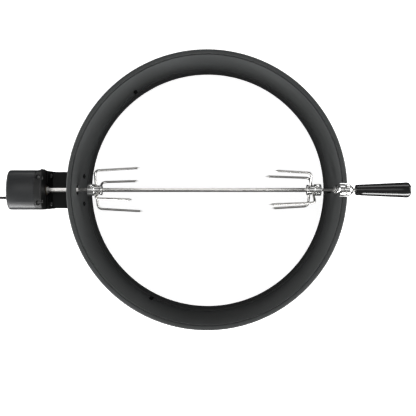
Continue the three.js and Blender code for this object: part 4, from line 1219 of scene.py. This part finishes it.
class KIT_OT_motor(bpy.types.Operator):
    """Makes the motor's case, bracket, bearing and switch, and finishes the gear train"""

    bl_idname = "rotisserie.motor"
    bl_label = "Motor"

    def execute(self, context):
        s = context.scene.rotisserie_motor
        body = "ring_and_motor"
        low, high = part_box("motor_rear_shell")
        rear, front = low.x, high.x
        r = s.rounding
        outer = [case_outline(front, 0.0004), case_outline(front - 0.0004, 0.0)]
        for k in range(9):
            a = math.radians(90 * k / 8)
            outer.append(case_outline(rear + r - r * math.sin(a), r - r * math.cos(a)))
        inner = [
            case_outline(rear + s.wall, s.wall + 0.003), case_outline(rear + s.wall + 0.003, s.wall),
            case_outline(front, s.wall),
        ]
        mesh = loft("rear_shell", inner + outer)
        new_piece("rear_case", mesh, "shell", body, ("motor_rear_shell",), 50.0)

        low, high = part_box("motor_front_housing")
        back, face = low.x, high.x
        inner = [
            case_outline(face - 0.003, s.wall + 0.0005), case_outline(face - 0.0035, s.wall),
            case_outline(back, s.wall),
        ]
        outer = [case_outline(back, 0.0004), case_outline(back + 0.0004, 0.0)]
        for k in range(5):
            a = math.radians(90 * k / 4)
            outer.append(case_outline(face - 0.0012 + 0.0012 * math.sin(a), 0.0012 - 0.0012 * math.cos(a)))
        mesh = loft("front_case", inner + outer)
        bosses, pockets = [], []
        for i in (1, 2):
            a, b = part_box(f"cover_screw_{i}")
            x, y, z = (a.x + b.x) / 2, (a.y + b.y) / 2, a.z - 0.0003
            bosses.append(rod_mesh(0.0056, Vector((x, y, z - 0.0015)), Vector((x, y, z + 0.003)), 40))
            pockets.append(rod_mesh(0.0046, Vector((x, y, z)), Vector((x, y, z + 0.02)), 40))
        a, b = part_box("switch_body")
        slot = block((a.x + 0.0006, a.y, a.z + 0.0013), (b.x - 0.0006, b.y, b.z - 0.0013))
        hole = rod_mesh(0.0095, Vector((face - 0.01, 0, AXIS_Z)), Vector((face + 0.01, 0, AXIS_Z)), 48)
        mesh = cut(cut(mesh, bosses, "UNION"), [*pockets, slot, hole])
        new_piece("front_case", mesh, "dark_plastic", body, ("motor_front_housing",), 40.0)

        new_piece("bracket", from_node("motor_bracket", 0.0005, 2), "bracket", body, ("motor_bracket",), 30.0)
        low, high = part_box("output_bearing")
        profile = rounded([
            (low.x, 0.0072), (low.x, 0.0092), (face + 0.0003, 0.0092), (face + 0.0003, 0.0108),
            (high.x, 0.0108), (high.x, 0.0072),
        ], 0.0003, 3)
        mesh = turned("bearing", profile, Vector((0, 0, AXIS_Z)), "X", 56)
        new_piece("bearing", mesh, "brass", body, ("output_bearing",))
        hub = from_node("output_gear", 0.0002, 2, 60.0)
        new_piece("hub_gear", hub, "zinc", "output", ("output_gear",), 30.0)

        switch = from_node("switch_body", 0.0005, 3)
        new_piece("switch_case", switch, "dark_plastic", body, ("switch_body",))
        rocker = from_node("switch_rocker", 0.0006, 3)
        new_piece("rocker", rocker, "dark_plastic", "rocker", ("switch_rocker",), 40.0, "rocker")
        plain = {
            "second_gear": "nylon", "first_gear": "nylon", "rotor": "magnet", "gear_plate": "zinc",
            "gear_axle_1": "steel", "gear_axle_2": "steel", "stator_can": "zinc", "field_coil": "copper",
        }
        for node, slot_name in plain.items():
            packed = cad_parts[node]
            packed.data.materials.clear()
            packed.data.materials.append(finish_named(slot_name))
        return {"FINISHED"}


# ---- panel and registration ------------------------------------------------------------------

OPERATORS = (
    KIT_OT_stage, KIT_OT_cord, KIT_OT_ring, KIT_OT_spit, KIT_OT_handle, KIT_OT_forks, KIT_OT_fasteners,
    KIT_OT_motor,
)
GROUPS = {
    "rotisserie_ring": RingSizes, "rotisserie_spit": SpitSizes, "rotisserie_motor": MotorSizes,
    "rotisserie_cord": CordSizes, "rotisserie_colours": FinishColours,
}


class KIT_PT_panel(bpy.types.Panel):
    bl_idname = "KIT_PT_panel"
    bl_label = "Rotisserie Ring Kit"
    bl_space_type = "VIEW_3D"
    bl_region_type = "UI"
    bl_category = "Rotisserie"

    def draw(self, context):
        for name, group in GROUPS.items():
            box = self.layout.box()
            box.label(text=name.replace("_", " ").capitalize())
            values = getattr(context.scene, name)
            for key in group.__annotations__:
                box.prop(values, key)
        for operator in OPERATORS:
            self.layout.operator(operator.bl_idname)


def register():
    for group in GROUPS.values():
        bpy.utils.register_class(group)
    for name, group in GROUPS.items():
        setattr(bpy.types.Scene, name, PointerProperty(type=group))
    for operator in OPERATORS:
        bpy.utils.register_class(operator)
    bpy.utils.register_class(KIT_PT_panel)


def unregister():
    bpy.utils.unregister_class(KIT_PT_panel)
    for operator in reversed(OPERATORS):
        bpy.utils.unregister_class(operator)
    for name in GROUPS:
        delattr(bpy.types.Scene, name)
    for group in reversed(list(GROUPS.values())):
        bpy.utils.unregister_class(group)


def main():
    register()
    bpy.ops.rotisserie.stage()
    bpy.ops.rotisserie.cord()
    bpy.ops.rotisserie.ring()
    bpy.ops.rotisserie.spit()
    bpy.ops.rotisserie.handle()
    bpy.ops.rotisserie.forks()
    bpy.ops.rotisserie.fasteners()
    bpy.ops.rotisserie.motor()


if __name__ == "__main__":
    main()
